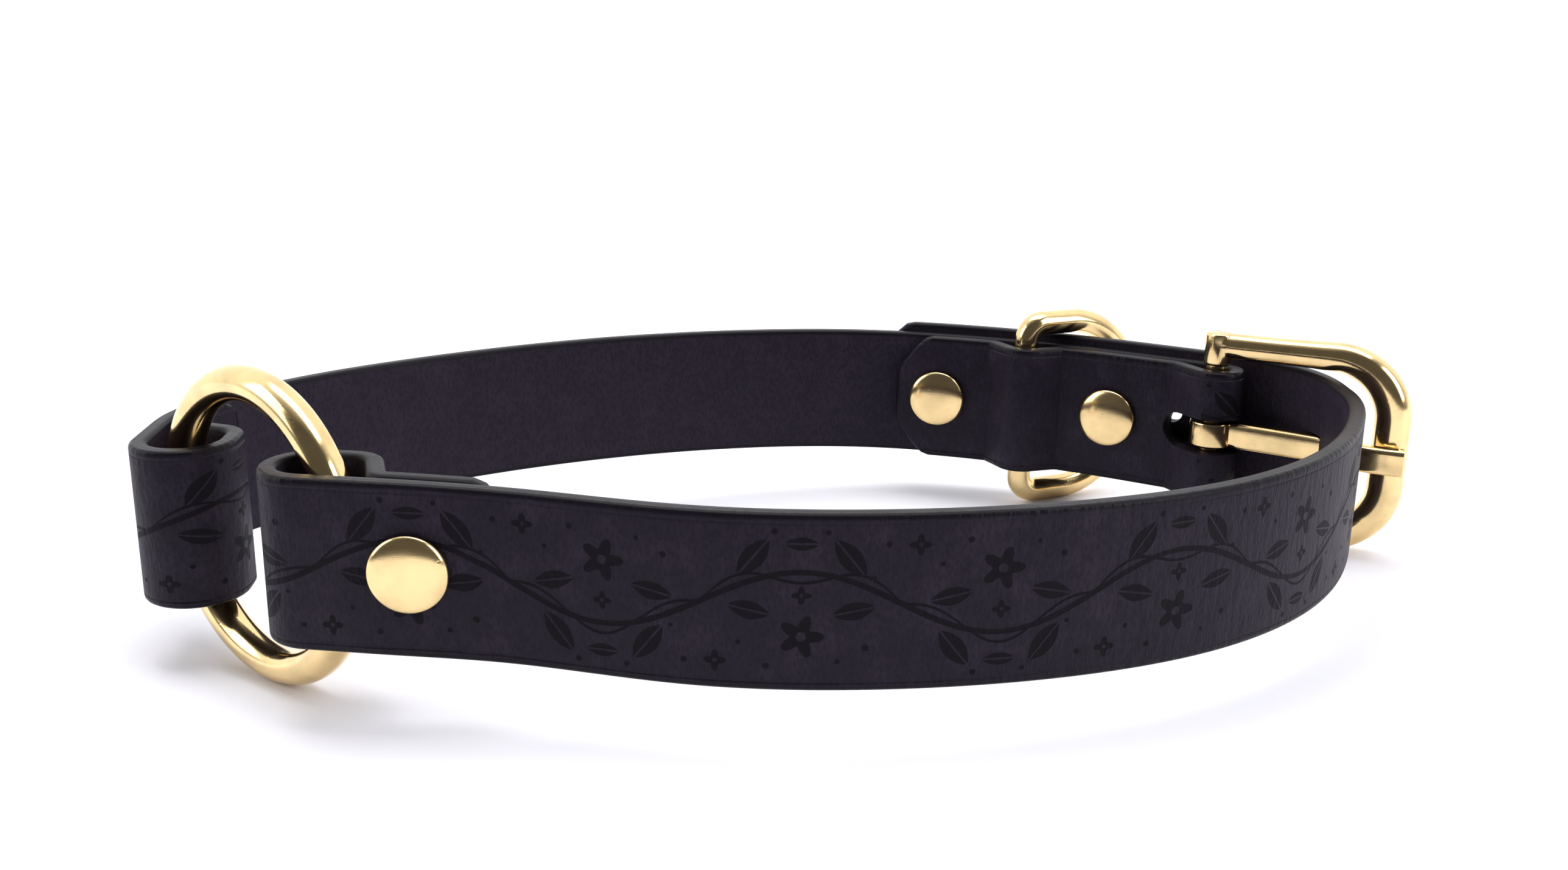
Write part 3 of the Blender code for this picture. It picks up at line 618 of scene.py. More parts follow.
# %% Where the rivets sit: name, s, cap on the inside
RIVETS = [
    ("front_rivet", LOOP.front.rivet(), False),
    ("ring_rivet", LOOP.total - LOOP.back.rivet(), False),
    ("buckle_rivet", HEEL + HEEL_TO_RIVET, True),
    ("chape_end_rivet", HEEL + HEEL_TO_RIVET + RIVET_TO_D_BAR + D_BAR_TO_RIVET, True),
]


def rivet_faces(cap_inside):
    """The offs of the cap's seat and of the inner head's seat, and the way between them."""
    face = PITCH + LEATHER / 2 + CLEARANCE if cap_inside else -LEATHER / 2 - CLEARANCE
    across = PITCH + LEATHER + CLEARANCE
    return face, (face - across if cap_inside else face + across), (-1 if cap_inside else 1)


for name, s, cap_inside in RIVETS:
    face, seat, way = rivet_faces(cap_inside)
    strap = front_strap if name == "front_rivet" else back_strap
    post = rod(LOOP.at(s, face), LOOP.at(s, seat), RIVET_POST / 2 + CLEARANCE)
    cut_with(strap, new_piece("post", post))
    sunk = RIVET_HEAD_THICKNESS + CLEARANCE
    head = rod(LOOP.at(s, seat - way * sunk), LOOP.at(s, seat + way * LEATHER),
               RIVET_HEAD / 2 + CLEARANCE)
    cut_with(strap, new_piece("head", head))
    print("hole for", name, "at", round(s / MM, 1), "mm")

# %% [markdown]
# ## Laying the pattern on the leather
# Grain and engraving have to follow the strap round its bends, so each vertex gets its place on
# the unrolled strap: u is the length along it and v is its height, both in metres. A second
# number, side, is 1 on the grain side and -1 on the flesh side.

# %% Measure each vertex on the unrolled strap
def unroll(thing, route, line, lengths, rise):
    mesh = thing.data
    spots = np.array([vert.co[:] for vert in mesh.vertices])
    path = np.array([route.at(s, off)[:2] for s, off in line])
    levels = np.array([route.at(s, off, rise(s)).z for s, off in line])
    starts, ways = path[:-1], np.diff(path, axis=0)
    sizes = np.linalg.norm(ways, axis=1)
    ways = ways / sizes[:, None]
    run, height, side = [], [], []
    for spot in spots:
        gap = spot[:2] - starts
        along = np.clip((gap * ways).sum(axis=1), 0.0, sizes)
        away = gap - ways * along[:, None]
        nearest = int(np.argmin((away**2).sum(axis=1)))
        share = along[nearest] / sizes[nearest]
        across = ways[nearest][0] * away[nearest][1] - ways[nearest][1] * away[nearest][0]
        run.append(lengths[nearest] + share * (lengths[nearest + 1] - lengths[nearest]))
        height.append(spot[2] - levels[nearest])
        side.append(-across / (LEATHER / 2))
    sides = mesh.attributes.new("side", 'FLOAT', 'POINT')
    sides.data.foreach_set("value", side)
    layer = mesh.uv_layers.new(name="strap")
    for loop in mesh.loops:
        layer.data[loop.index].uv = (run[loop.vertex_index], height[loop.vertex_index])
    print(thing.name, "unrolled:", round(max(run) / MM), "x", round(2 * max(height) / MM, 1), "mm")


unroll(front_strap, LOOP, front_line, front_lengths, LOOP.billet_rise)
unroll(back_strap, LOOP, back_line, back_lengths, level)


# %% Stand the straps up
def finish_piece(thing, body, slot, *nodes, angle=40.0):
    thing.data.shade_smooth()
    thing.data.set_sharp_from_angle(angle=math.radians(angle))
    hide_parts(*nodes)
    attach(thing, body)


for strap, node in ((front_strap, "front_strap"), (back_strap, "back_strap")):
    strap.data.transform(STAND)
    finish_piece(strap, "collar", "leather", node)
    print(strap.name, "from", [round(x / MM, 1) for x in strap.data.vertices[0].co])

# %% [markdown]
# ## Rings and rivets
# The rings are bent from round brass wire and welded. The O-ring is a circle of wire spun once
# round. The D-ring is one wire along a D, so a curve with a round bevel gives it directly.
# A rivet is turned: half its section is spun round its post.

# %% Closing and spinning a mesh
WIRE_SEAM = 0.01 * MM
SPUN_SEAM = 0.005 * MM


def closed_up(bm, seam):
    bmesh.ops.remove_doubles(bm, verts=bm.verts[:], dist=seam)
    bmesh.ops.recalc_face_normals(bm, faces=bm.faces[:])
    return bm


def spun(bm, section, steps):
    bmesh.ops.spin(bm, geom=section, cent=(0, 0, 0), axis=(0, 0, 1), angle=2 * math.pi,
                   steps=steps, use_merge=True)
    return closed_up(bm, SPUN_SEAM)


# %% A wire of changing thickness along points
def wire(name, points, thicknesses, closed, sides=6):
    curve = bpy.data.curves.new(name, 'CURVE')
    curve.dimensions = '3D'
    curve.bevel_depth = 0.5
    curve.bevel_resolution = sides
    curve.use_fill_caps = True
    spline = curve.splines.new('POLY')
    spline.points.add(len(points) - 1)
    for spot, point, thickness in zip(spline.points, points, thicknesses):
        spot.co = (*point, 1.0)
        spot.radius = thickness
    spline.use_cyclic_u = closed
    thing = linked(name, curve)
    bm = bmesh.new()
    bm.from_mesh(baked(thing))
    bpy.data.objects.remove(thing, do_unlink=True)
    return closed_up(bm, WIRE_SEAM)


# %% O-ring
def o_ring():
    across = heading(-RING_YAW)
    place = turned_frame(Vector((*LOOP.ring_centre, RING_LEVEL)),
                         Vector((*inward(across), 0.0)), Vector((*across, 0.0)))
    major = (RING_INNER + RING_WIRE) / 2
    bm = bmesh.new()
    section = bmesh.ops.create_circle(bm, segments=28, radius=RING_WIRE / 2)["verts"]
    bmesh.ops.rotate(bm, verts=section, matrix=Matrix.Rotation(math.pi / 2, 3, 'X'))
    bmesh.ops.translate(bm, verts=section, vec=(major, 0, 0))
    spun(bm, bm.edges[:] + section, 120)
    bm.transform(STAND @ place)
    thing = new_piece("ring_brass", bm)
    finish_piece(thing, "collar", "brass", "o_ring")
    return thing


ring = o_ring()
print("O-ring", len(ring.data.polygons), "faces")


# %% D-ring
def d_outline():
    half = (STRAP_WIDTH + D_SIDE_ROOM + D_WIRE) / 2
    corner = 0.75 * D_WIRE
    bow = D_DEPTH - D_WIRE - D_STRAIGHT
    line = arc((corner, -half + corner), (corner, corner), 180, 270, 12)
    line += arc((D_STRAIGHT, 0.0), (bow, half), -90, 90, 64)
    line += arc((corner, half - corner), (corner, corner), 90, 180, 12)
    return line


def d_ring():
    s = HEEL + HEEL_TO_RIVET + RIVET_TO_D_BAR
    out = Matrix.Rotation(D_SWING, 3, 'Z') @ -LOOP.inward_at(s)
    hang = max(0.0, D_SIDE_ROOM / 2 - BILLET_RISE - CLEARANCE)
    middle = LOOP.at(s, LEATHER / 2 + CLEARANCE + D_WIRE / 2, -hang)
    points = [(away, 0.0, height) for away, height in d_outline()]
    bm = wire("d_wire", points, [D_WIRE] * len(points), True)
    bm.transform(STAND @ turned_frame(middle, Vector((0, 0, 1)), out))
    thing = new_piece("d_ring_brass", bm)
    finish_piece(thing, "d_ring", "brass", "d_ring")
    return thing


d_piece = d_ring()
print("D-ring", len(d_piece.data.polygons), "faces")


# %% Rivets
def rivet_section():
    cap = RIVET_CAP / 2
    post = RIVET_POST / 2
    grip = 2 * LEATHER + 2 * CLEARANCE - RIVET_HEAD_THICKNESS
    dome = [(cap * math.sin(a), RIVET_RIM + (RIVET_DOME - RIVET_RIM) * math.cos(a))
            for a in (math.radians(d) for d in range(0, 91, 6))]
    return dome + [
        (cap - 0.08 * MM, RIVET_RIM * 0.5),
        (cap - RIVET_RIM, 0.0),
        (post, 0.0),
        (post, -grip),
        (RIVET_HEAD / 2, -grip),
        (RIVET_HEAD / 2, -grip - RIVET_HEAD_THICKNESS * 0.7),
        (RIVET_HEAD / 2 - 0.25 * MM, -grip - RIVET_HEAD_THICKNESS),
        (0.0, -grip - RIVET_HEAD_THICKNESS),
    ]


def rivet(name, s, cap_inside):
    face, _, _ = rivet_faces(cap_inside)
    way = LOOP.inward_at(s) if cap_inside else -LOOP.inward_at(s)
    bm = bmesh.new()
    section = [bm.verts.new((radius, 0.0, height)) for radius, height in rivet_section()]
    edges = [bm.edges.new(pair) for pair in zip(section, section[1:])]
    spun(bm, section + edges, 64)
    bm.transform(STAND @ turned_frame(LOOP.at(s, face), way, Vector((0, 0, 1))))
    thing = new_piece(name + "_brass", bm)
    finish_piece(thing, "collar", "brass", name)
    return thing


rivets = [rivet(*row) for row in RIVETS]
print("rivets", [thing.name for thing in rivets])

# %% [markdown]
# ## Buckle
# The frame is cast in one piece: a bar that is thin at the heel and swells to the far bar, with
# a short hub at each end of the heel bar. A curve whose points have their own radius gives the
# swelling bar. The hubs and the heel bar are joined to it, and the tongue is a flat bar with
# rounded edges and an eye.

# %% Upright rods and round rims
RIM_ROUND = 0.5 * MM
TONGUE_ROUND = 1.0 * MM
HUB_SHARE = 0.52


def upright(low, high, radius, sides=32):
    return rod(Vector((0, 0, low)), Vector((0, 0, high)), radius, sides)


def round_rims(bm, width, segments):
    rims = [e for e in bm.edges if e.calc_face_angle() > 1.0]
    bmesh.ops.bevel(bm, geom=rims, offset=width, segments=segments, profile=0.5,
                    affect='EDGES', material=-1)


# %% Frame of the buckle
def buckle_frame():
    half = STRAP_WIDTH / 2 + BUCKLE_SIDE_ROOM + BUCKLE_ARM / 2
    corner = BUCKLE_CORNER
    flat = BUCKLE_LENGTH - corner
    line = [(flat * i / 10, -half) for i in range(10)]
    line += arc((flat, -half + corner), (corner, corner), -90, 0, 22)
    line += arc((flat, half - corner), (corner, corner), 0, 90, 22)
    line += [(flat * (9 - i) / 10, half) for i in range(10)]
    thickness = []
    for ahead, _ in line:
        share = max(0.0, min(1.0, (ahead / BUCKLE_LENGTH - 0.3) / 0.65))
        thickness.append(BUCKLE_ARM + (FAR_BAR - BUCKLE_ARM) * share**1.5)
    points = [(ahead, 0.0, height) for ahead, height in line]
    thing = new_piece("buckle_brass", wire("buckle_wire", points, thickness, False, sides=8))
    cut_with(thing, new_piece("heel_bar", upright(-half, half, HEEL_BAR / 2)), 'UNION')
    for side in (-1, 1):
        hub = upright(side * (STRAP_WIDTH / 2 + 2 * CLEARANCE), side * (half + BUCKLE_ARM / 2),
                      BUCKLE_ARM * HUB_SHARE, 40)
        round_rims(hub, RIM_ROUND, 3)
        cut_with(thing, new_piece("hub", hub), 'UNION')
    thing.data.transform(STAND @ BUCKLE_FRAME)
    finish_piece(thing, "collar", "brass", "buckle_frame", angle=50.0)
    return thing


buckle = buckle_frame()
print("buckle", len(buckle.data.polygons), "faces")


# %% Tongue
def smooth_line(points, steps=8):
    """A rounder line through the points, for a bar that was bent and not folded."""
    spots = np.array(points)
    out = []
    for i in range(len(spots) - 1):
        before = spots[max(0, i - 1)]
        after = spots[min(len(spots) - 1, i + 2)]
        a, b = spots[i], spots[i + 1]
        for step in range(steps):
            t = step / steps
            out.append(0.5 * (2 * a + (b - before) * t + (2 * before - 5 * a + 4 * b - after) * t**2
                              + (3 * a - before - 3 * b + after) * t**3))
    return out + [spots[-1]]


def tongue():
    half = TONGUE_HEIGHT / 2
    bore = HEEL_BAR / 2 + CLEARANCE
    bm = prism(flat_bar(smooth_line(tongue_line()), TONGUE_THICKNESS / 2), half)
    round_rims(bm, TONGUE_ROUND, 4)
    thing = new_piece("tongue_brass", bm)
    eye = upright(-half, half, bore + TONGUE_WALL, 48)
    round_rims(eye, RIM_ROUND, 3)
    cut_with(thing, new_piece("eye", eye), 'UNION')
    cut_with(thing, new_piece("bore", upright(-2 * half, 2 * half, bore)))
    thing.data.transform(STAND @ BUCKLE_FRAME)
    finish_piece(thing, "collar", "brass", "buckle_tongue", angle=50.0)
    return thing


tongue_piece = tongue()
print("tongue", len(tongue_piece.data.polygons), "faces")

# %% [markdown]
# ## Node groups
# Effects that more than one finish uses are shader node groups with named inputs and outputs.
# A small helper writes the maths nodes, so that a formula reads as a formula.

# %% Short names for nodes
class Wiring:
    """Adds nodes to one tree; values may be sockets or numbers."""

    def __init__(self, tree):
        self.tree = tree

    def feed(self, socket, value):
        if isinstance(value, bpy.types.NodeSocket):
            self.tree.links.new(value, socket)
        else:
            socket.default_value = value

    def maths(self, operation, *values, clamp=False):
        node = self.tree.nodes.new("ShaderNodeMath")
        node.operation = operation
        node.use_clamp = clamp
        for socket, value in zip(node.inputs, values):
            self.feed(socket, value)
        return node.outputs[0]

    add = partialmethod(maths, 'ADD')
    sub = partialmethod(maths, 'SUBTRACT')
    mul = partialmethod(maths, 'MULTIPLY')
    div = partialmethod(maths, 'DIVIDE')
    low = partialmethod(maths, 'MINIMUM')
    high = partialmethod(maths, 'MAXIMUM')
    size = partialmethod(maths, 'ABSOLUTE')

    def length(self, x, y):
        return self.maths('SQRT', self.add(self.mul(x, x), self.mul(y, y)))

    def soft(self, distance, width):
        """1 where distance is above 0, 0 where it is below, soft over width."""
        return self.maths('MULTIPLY_ADD', distance, 1.0 / width, 0.5, clamp=True)

    def vector(self, x, y, z):
        node = self.tree.nodes.new("ShaderNodeCombineXYZ")
        for socket, value in zip(node.inputs, (x, y, z)):
            self.feed(socket, value)
        return node.outputs[0]

    def split(self, vector):
        node = self.tree.nodes.new("ShaderNodeSeparateXYZ")
        self.feed(node.inputs[0], vector)
        return node.outputs

    def dot(self, vector, way):
        node = self.tree.nodes.new("ShaderNodeVectorMath")
        node.operation = 'DOT_PRODUCT'
        self.feed(node.inputs[0], vector)
        node.inputs[1].default_value = way
        return node.outputs["Value"]

    def noise(self, vector, scale, detail, roughness):
        node = self.tree.nodes.new("ShaderNodeTexNoise")
        self.feed(node.inputs["Vector"], vector)
        node.inputs["Scale"].default_value = scale
        node.inputs["Detail"].default_value = detail
        node.inputs["Roughness"].default_value = roughness
        return node.outputs["Fac"]

    def cells(self, vector, scale):
        node = self.tree.nodes.new("ShaderNodeTexVoronoi")
        self.feed(node.inputs["Vector"], vector)
        node.inputs["Scale"].default_value = scale
        return node.outputs["Distance"]

    def spread(self, value, low, high, to_low=0.0, to_high=1.0):
        node = self.tree.nodes.new("ShaderNodeMapRange")
        node.interpolation_type = 'SMOOTHSTEP'
        for name, number in (("Value", value), ("From Min", low), ("From Max", high),
                             ("To Min", to_low), ("To Max", to_high)):
            self.feed(node.inputs[name], number)
        return node.outputs[0]

    def blend(self, share, first, second):
        node = self.tree.nodes.new("ShaderNodeMix")
        node.data_type = 'RGBA'
        self.feed(node.inputs["Factor"], share)
        self.feed(node.inputs["A"], first)
        self.feed(node.inputs["B"], second)
        return node.outputs["Result"]

    def bump(self, height, strength, distance):
        node = self.tree.nodes.new("ShaderNodeBump")
        node.inputs["Strength"].default_value = strength
        node.inputs["Distance"].default_value = distance
        self.feed(node.inputs["Height"], height)
        return node.outputs[0]

    def group(self, tree, **values):
        node = self.tree.nodes.new("ShaderNodeGroup")
        node.node_tree = tree
        for name, value in values.items():
            self.feed(node.inputs[name], value)
        return node.outputs


FLOAT = 'NodeSocketFloat'


def new_group(name, inputs, outputs):
    """A node group with its inputs (name, kind, default) and its outputs (name, kind)."""
    tree = bpy.data.node_groups.new(name, 'ShaderNodeTree')
    for label, kind, value in inputs:
        socket = tree.interface.new_socket(label, in_out='INPUT', socket_type=kind)
        socket.default_value = value
    for label, kind in outputs:
        tree.interface.new_socket(label, in_out='OUTPUT', socket_type=kind)
    start = tree.nodes.new("NodeGroupInput")
    end = tree.nodes.new("NodeGroupOutput")
    return tree, Wiring(tree), start.outputs, end.inputs


def new_material(thing):
    """Gives the piece one material with its own name; returns its wiring and its shader."""
    material = bpy.data.materials.new(thing.name)
    material.use_nodes = True
    thing.data.materials.clear()
    thing.data.materials.append(material)
    return Wiring(material.node_tree), material.node_tree.nodes["Principled BSDF"]


# %% [markdown]
# ## Engraving
# The outer faces are engraved by a laser: the leather inside a motif is burned a little deeper
# and darker. The design here is a plain running vine: a stem that swings to and fro, a finer
# one wound round it, and leaves, rosettes and dots in each bay. It is worked out from u and v,
# so it follows the strap and repeats for its whole length; every other bay is turned over.

# %% The engraved vine as a node group
# Each motif's row starts with its place in the bay, x and y, and every length in it is in mm. A
# leaf has a turn in degrees and half its length and width. A rosette has its number of petals
# and its radius, and a dot its radius.
BAY = 27.0 * MM
SWING = 4.6 * MM
STEM_HALF = 0.42 * MM
FINE_STEM_HALF = 0.20 * MM
FINE_STEM_SWING = 1.5 * MM
CUT_EDGE = 0.12 * MM
LEAVES = [(-6.4, 6.6, 52.0, 3.4, 1.5), (6.4, 6.6, 128.0, 3.4, 1.5), (-7.0, -0.9, -12.0, 3.0, 1.25),
          (7.0, -0.9, 192.0, 3.0, 1.25), (0.0, 8.6, 0.0, 2.4, 0.9)]
ROSETTES = [(0.0, -4.6, 5, 3.1), (-11.4, -8.4, 4, 1.5), (0.0, 1.3, 4, 1.3)]
DOTS = [(-4.6, -8.9, 0.42), (4.9, -8.2, 0.34), (8.6, -6.2, 0.46), (-8.3, -5.6, 0.34),
        (3.4, 10.2, 0.36), (-3.6, 10.3, 0.42), (11.4, 8.6, 0.4), (9.6, 3.8, 0.3)]


def engraved_vine():
    tree, w, given, out = new_group(
        "engraved_vine",
        [("Along", FLOAT, 0.0), ("Height", FLOAT, 0.0)],
        [("Mask", FLOAT)])
    along, height = given["Along"], given["Height"]
    turns = w.div(along, BAY)
    number = w.maths('FLOOR', turns)
    odd = w.maths('MODULO', w.size(number), 2.0)
    flip = w.sub(1.0, w.mul(odd, 2.0))
    y = w.mul(height, flip)
    x = w.mul(w.sub(w.sub(turns, number), 0.5), BAY)
    stem_y = w.mul(w.maths('SINE', w.mul(turns, math.pi)), flip)
    stem = w.sub(y, w.mul(stem_y, SWING))
    slope = w.add(1.0, w.mul(0.11, w.maths('COSINE', w.mul(turns, 2 * math.pi))))
    away = w.div(w.size(stem), slope)
    second = w.sub(stem, w.mul(w.maths('SINE', w.mul(turns, 3 * math.pi)), FINE_STEM_SWING))
    shapes = [
        w.soft(w.sub(STEM_HALF, away), CUT_EDGE),
        w.soft(w.sub(FINE_STEM_HALF, w.size(second)), CUT_EDGE),
    ]

    def leaf(dx, dy, angle, length, width):
        """A pointed leaf whose midrib stays plain."""
        cos, sin = math.cos(math.radians(angle)), math.sin(math.radians(angle))
        lx = w.add(w.mul(dx, cos), w.mul(dy, sin))
        ly = w.size(w.sub(w.mul(dy, cos), w.mul(dx, sin)))
        share = w.div(lx, length * MM)
        edge = w.sub(w.mul(w.sub(1.0, w.mul(share, share)), width * MM), ly)
        rib = w.sub(ly, 0.16 * MM)
        return w.mul(w.soft(edge, CUT_EDGE), w.soft(rib, CUT_EDGE))

    def rosette(dx, dy, petals, size):
        """A flower whose rim waves once for each petal, with a plain eye."""
        gap = w.length(dx, dy)
        angle = w.maths('ARCTAN2', dy, dx)
        rim = w.mul(w.add(0.74, w.mul(w.maths('COSINE', w.mul(angle, float(petals))), 0.26)),
                    size * MM)
        eye = w.sub(gap, size * 0.22 * MM)
        return w.mul(w.soft(w.sub(rim, gap), CUT_EDGE), w.soft(eye, CUT_EDGE))

    def dot(dx, dy, size):
        return w.soft(w.sub(size * MM, w.length(dx, dy)), CUT_EDGE)

    for motif, rows in ((leaf, LEAVES), (rosette, ROSETTES), (dot, DOTS)):
        shapes += [motif(w.sub(x, at_x * MM), w.sub(y, at_y * MM), *sizes)
                   for at_x, at_y, *sizes in rows]
    mask = shapes[0]
    for shape in shapes[1:]:
        mask = w.high(mask, shape)
    w.feed(out["Mask"], mask)
    return tree


VINE = engraved_vine()
print("engraving:", len(VINE.nodes), "nodes")


# %% Leather grain as a node group; its scales are cells in a metre
PORE_SCALE = 2300.0
FINE_SCALE = 3800.0
MOTTLE_SCALE = 120.0
CREASE_SCALE = 900.0


def leather_grain():
    tree, w, given, out = new_group(
        "leather_grain",
        [("Along", FLOAT, 0.0), ("Height", FLOAT, 0.0), ("Stretch", FLOAT, 2.0)],
        [("Grain", FLOAT), ("Mottle", FLOAT), ("Creases", FLOAT)])
    along, height = given["Along"], given["Height"]
    slim = w.div(height, given["Stretch"])
    place = w.vector(along, slim, 0.0)
    pores = w.cells(place, PORE_SCALE)
    fine = w.noise(place, FINE_SCALE, 3.0, 0.6)
    w.feed(out["Grain"], w.add(w.mul(pores, 0.55), w.mul(fine, 0.6)))
    w.feed(out["Mottle"], w.noise(w.vector(along, height, 3.0), MOTTLE_SCALE, 4.0, 0.6))
    creases = w.noise(w.vector(along, w.mul(height, 0.22), 7.0), CREASE_SCALE, 2.0, 0.5)
    w.feed(out["Creases"], creases)
    return tree


GRAIN = leather_grain()
print("grain:", len(GRAIN.nodes), "nodes")

# %% [markdown]
# ## Leather
# The leather is dyed black with a little violet in it. Its grain side is satin, with fine pores
# and short creases across the strap, and engraved. Its flesh side is finished smoother and
# matter. The edges are bevelled, dyed and burnished, so they are darker and shine more, and a
# crease line runs beside them.

# %% The leather's material
DYE = (0.0148, 0.0105, 0.0192, 1.0)
DYE_FLESH = (0.0205, 0.0152, 0.0262, 1.0)
DYE_WORN = (0.027, 0.020, 0.033, 1.0)
DYE_BURNED = (0.0030, 0.0020, 0.0042, 1.0)
DYE_EDGE = (0.0062, 0.0048, 0.0080, 1.0)
LEATHER_ROUGH = 0.40
LEATHER_SHEEN = 0.11
CREASE_FROM_EDGE = 1.35 * MM
CREASE_WIDTH = 0.32 * MM


def dress_in_leather(thing, length, engraved_from):
    w, shader = new_material(thing)
    uv = w.tree.nodes.new("ShaderNodeUVMap")
    uv.uv_map = "strap"
    along, height, _ = w.split(uv.outputs[0])
    side = w.tree.nodes.new("ShaderNodeAttribute")
    side.attribute_name = "side"
    outer = w.spread(side.outputs["Fac"], 0.2, 0.9)
    inner = w.spread(side.outputs["Fac"], -0.9, -0.2, 1.0, 0.0)
    grain = w.group(GRAIN, Along=along, Height=height, Stretch=2.4)
    up = w.size(height)
    from_edge = w.low(w.sub(STRAP_WIDTH / 2, up), w.low(along, w.sub(length, along)))
    face = w.spread(from_edge, 0.5 * MM, 1.1 * MM)
    vine = w.group(VINE, Along=along, Height=height)["Mask"]
    room = w.spread(from_edge, 1.3 * MM, 1.9 * MM)
    engraved = w.spread(w.sub(along, engraved_from), 0.0, 0.1 * MM)
    burned = w.mul(w.mul(w.mul(vine, outer), room), engraved)
    groove = w.size(w.sub(w.sub(STRAP_WIDTH / 2, up), CREASE_FROM_EDGE))
    crease = w.mul(w.spread(groove, 0.0, CREASE_WIDTH, 1.0, 0.0), outer)

    worn = w.mul(w.spread(grain["Mottle"], 0.42, 0.72), 0.75)
    colour = w.blend(worn, w.blend(inner, DYE, DYE_FLESH), DYE_WORN)
    colour = w.blend(w.mul(w.spread(grain["Grain"], 0.3, 0.75, 1.0, 0.0), 0.6), colour, DYE_EDGE)
    colour = w.blend(w.sub(1.0, face), colour, DYE_EDGE)
    colour = w.blend(w.mul(burned, 0.9), colour, DYE_BURNED)
    w.feed(shader.inputs["Base Color"], colour)

    rough = w.add(LEATHER_ROUGH, w.mul(grain["Mottle"], 0.16))
    rough = w.add(rough, w.mul(inner, 0.10))
    rough = w.add(rough, w.mul(burned, 0.16))
    rough = w.sub(rough, w.mul(w.sub(1.0, face), 0.12))
    w.feed(shader.inputs["Roughness"], rough)
    shader.inputs["Specular IOR Level"].default_value = LEATHER_SHEEN

    height_map = w.mul(grain["Grain"], w.add(0.12, w.mul(face, 0.34)))
    height_map = w.add(height_map, w.mul(w.mul(grain["Creases"], outer), 1.1))
    height_map = w.sub(height_map, w.mul(burned, 0.85))
    height_map = w.sub(height_map, w.mul(crease, 1.3))
    w.feed(shader.inputs["Normal"], w.bump(height_map, 0.75, 0.26 * MM))


CHAPE = HEEL_TO_RIVET + RIVET_TO_D_BAR + D_BAR_TO_RIVET + RIVET_TO_CHAPE_END
dress_in_leather(front_strap, float(front_lengths[-1]), 0.0)
dress_in_leather(back_strap, float(back_lengths[-1]), CHAPE + HEEL_BAR)
print("leather on", front_strap.name, "and", back_strap.name)

# %% [markdown]
# ## Brass
# The hardware is cast or bent brass, polished and lacquered. Polishing leaves slow waves in the
# surface, fine scratches and a few pits, so the reflections are not perfectly sharp.

# %% The brass finish as a node group
def brass_wear():
    tree, w, given, out = new_group(
        "brass_wear",
        [("Place", 'NodeSocketVector', (0.0, 0.0, 0.0)), ("Scratches", FLOAT, 1.0)],
        [("Tone", FLOAT), ("Roughness", FLOAT), ("Height", FLOAT)])
    place = given["Place"]
    tone = w.noise(place, 140.0, 4.0, 0.6)
    x, y, z = w.split(place)
    brushed = w.noise(w.vector(w.mul(x, 0.25), y, w.mul(z, 3.0)), 1400.0, 3.0, 0.7)
    pits = w.spread(w.cells(place, 620.0), 0.02, 0.16, 1.0, 0.0)
    waves = w.noise(place, 70.0, 2.0, 0.5)
    w.feed(out["Tone"], tone)
    w.feed(out["Roughness"], w.add(w.mul(brushed, 0.10), w.mul(tone, 0.08)))
    height = w.add(w.mul(waves, 1.2), w.mul(w.mul(brushed, 0.10), given["Scratches"]))
    w.feed(out["Height"], w.sub(height, w.mul(w.mul(pits, 0.22), given["Scratches"])))
    return tree


BRASS_WEAR = brass_wear()
print("brass wear:", len(BRASS_WEAR.nodes), "nodes")

# %% Brass on the hardware: each piece, its roughness at least, its share of scratches
BRASS = (0.90, 0.67, 0.33, 1.0)
BRASS_DARKER = tuple(c * 0.78 for c in BRASS[:3]) + (1.0,)
HARDWARE = [(ring, 0.04, 0.8), (d_piece, 0.05, 0.8), (buckle, 0.06, 0.9), (tongue_piece, 0.07, 1.0)]
HARDWARE += [(piece, 0.09, 1.3) for piece in rivets]


def dress_in_brass(thing, rough, scratches):
    w, shader = new_material(thing)
    place = w.tree.nodes.new("ShaderNodeTexCoord").outputs["Object"]
    wear = w.group(BRASS_WEAR, Place=place, Scratches=scratches)
    colour = w.blend(w.spread(wear["Tone"], 0.35, 0.7), BRASS, BRASS_DARKER)
    w.feed(shader.inputs["Base Color"], colour)
    w.feed(shader.inputs["Roughness"], w.add(rough, wear["Roughness"]))
    shader.inputs["Metallic"].default_value = 1.0
    w.feed(shader.inputs["Normal"], w.bump(wear["Height"], 0.35, 0.12 * MM))


for row in HARDWARE:
    dress_in_brass(*row)
print("brass on", len(HARDWARE), "pieces")

# %% [markdown]
# ## Floor, light and camera
# The product stands on a white sweep in soft light, so the floor is a pale plane that fades
# into a pale surround. Three softboxes are drawn into the surround: they give the long white
# reflections on the brass, and its darker side gives the brown ones.

# %% Floor
FLOOR_HALF = 6.0
FLOOR_COLOUR = (0.905, 0.90, 0.950, 1.0)


def floor():
    bm = bmesh.new()
    bmesh.ops.create_grid(bm, x_segments=1, y_segments=1, size=FLOOR_HALF)
    thing = new_piece("floor", bm)
    _, shader = new_material(thing)
    shader.inputs["Base Color"].default_value = FLOOR_COLOUR
    shader.inputs["Roughness"].default_value = 0.6
    shader.inputs["Specular IOR Level"].default_value = 0.2


floor()
print("floor", 2 * FLOOR_HALF, "m wide")


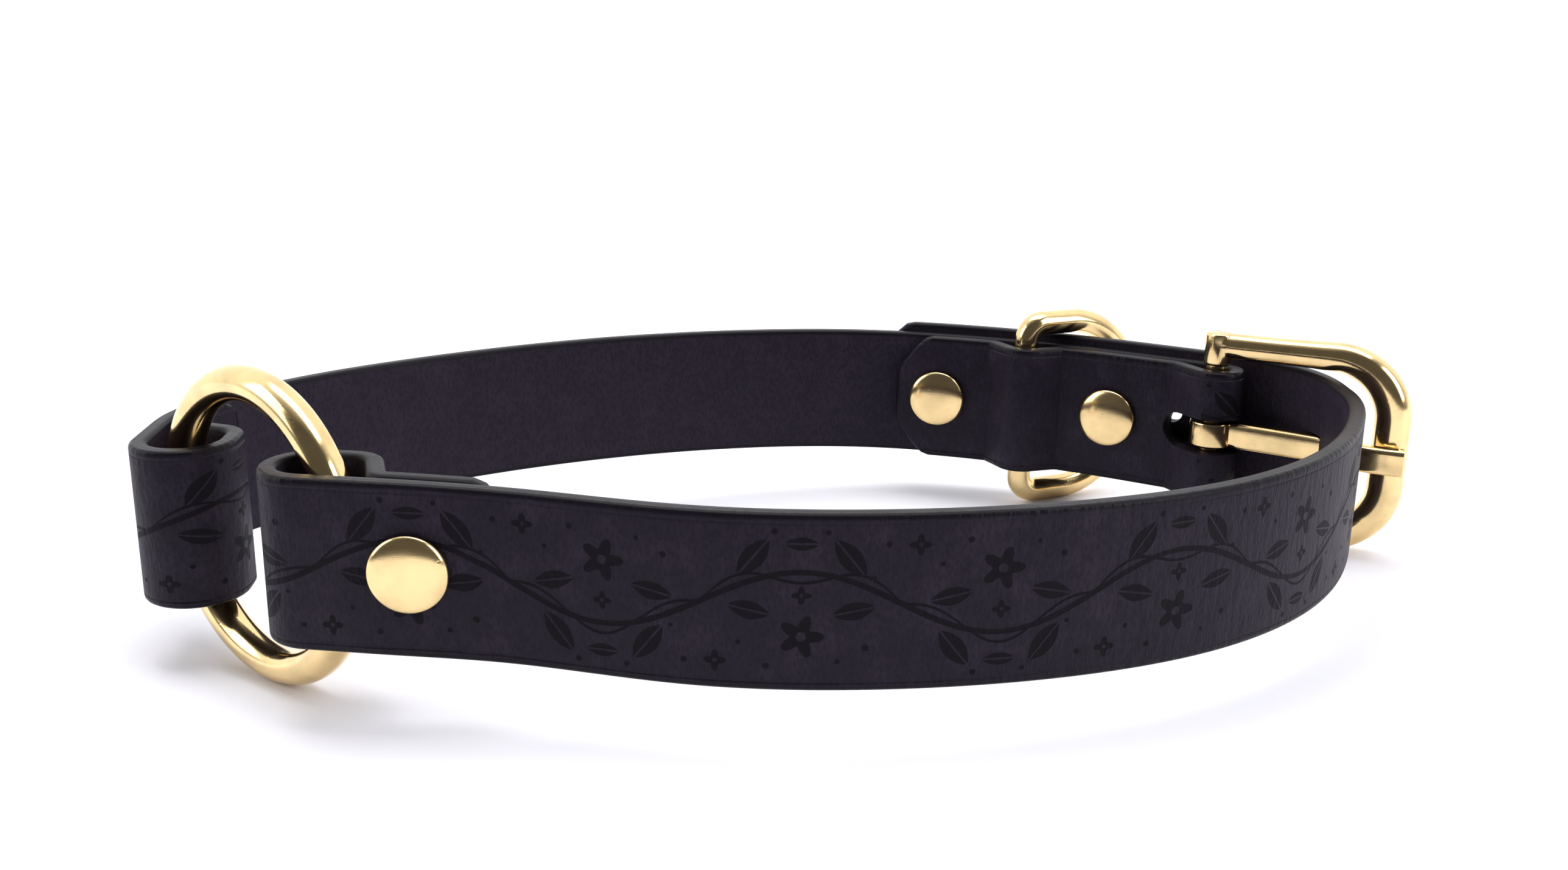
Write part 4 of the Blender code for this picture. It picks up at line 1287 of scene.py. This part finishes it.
# %% Softboxes: the way to each, half its width and height as tangents, its brightness
SOFTBOXES = [
    ("top", (0.05, 0.10, 0.99), 0.50, 0.22, 4.5),
    ("left", (-0.85, -0.15, 0.50), 0.22, 0.35, 3.0),
    ("right", (0.80, -0.45, 0.50), 0.18, 0.34, 6.0),
]
SOFTBOX_EDGE = 0.04
SURROUND_COLOUR = (0.985, 0.985, 1.0, 1.0)
SURROUND_DARK = 0.10
SURROUND_BRIGHT = 1.35


# %% Surround with the softboxes in it
def softbox(w, way, towards, half_width, half_height, strength):
    ahead = Vector(towards).normalized()
    side = ahead.cross(Vector((0, 0, 1))).normalized()
    facing = w.dot(way, ahead)
    across = w.size(w.div(w.dot(way, side), facing))
    rise = w.size(w.div(w.dot(way, side.cross(ahead)), facing))
    inside = w.mul(w.soft(w.sub(half_width, across), SOFTBOX_EDGE),
                   w.soft(w.sub(half_height, rise), SOFTBOX_EDGE))
    return w.mul(w.mul(inside, w.maths('GREATER_THAN', facing, 0.0)), strength)


def surround():
    world = bpy.data.worlds.new("studio")
    bpy.context.scene.world = world
    world.use_nodes = True
    w = Wiring(world.node_tree)
    way = world.node_tree.nodes.new("ShaderNodeTexCoord").outputs["Generated"]
    total = w.spread(w.split(way)[1], -0.5, 0.3, SURROUND_DARK, SURROUND_BRIGHT)
    for _, towards, half_width, half_height, strength in SOFTBOXES:
        total = w.add(total, softbox(w, way, towards, half_width, half_height, strength))
    background = world.node_tree.nodes["Background"]
    background.inputs["Color"].default_value = SURROUND_COLOUR
    w.feed(background.inputs["Strength"], total)


surround()
bpy.context.scene.view_settings.view_transform = 'Standard'
print("softboxes", [row[0] for row in SOFTBOXES])

# %% Camera
CAMERA_PLACE = (-0.00306, -0.24324, 0.09736)
CAMERA_TURN = (74.133, 0.624, 0.231)
FOCAL_PIXELS = 2400.0
IMAGE_WIDTH = 2576.0


def camera():
    data = bpy.data.cameras.new("camera")
    data.sensor_width = 36.0
    data.lens = data.sensor_width * FOCAL_PIXELS / IMAGE_WIDTH
    data.clip_start = 0.01
    thing = linked("camera", data)
    thing.location = CAMERA_PLACE
    thing.rotation_euler = [math.radians(x) for x in CAMERA_TURN]
    bpy.context.scene.camera = thing
    print("lens", round(data.lens, 2), "mm")


camera()
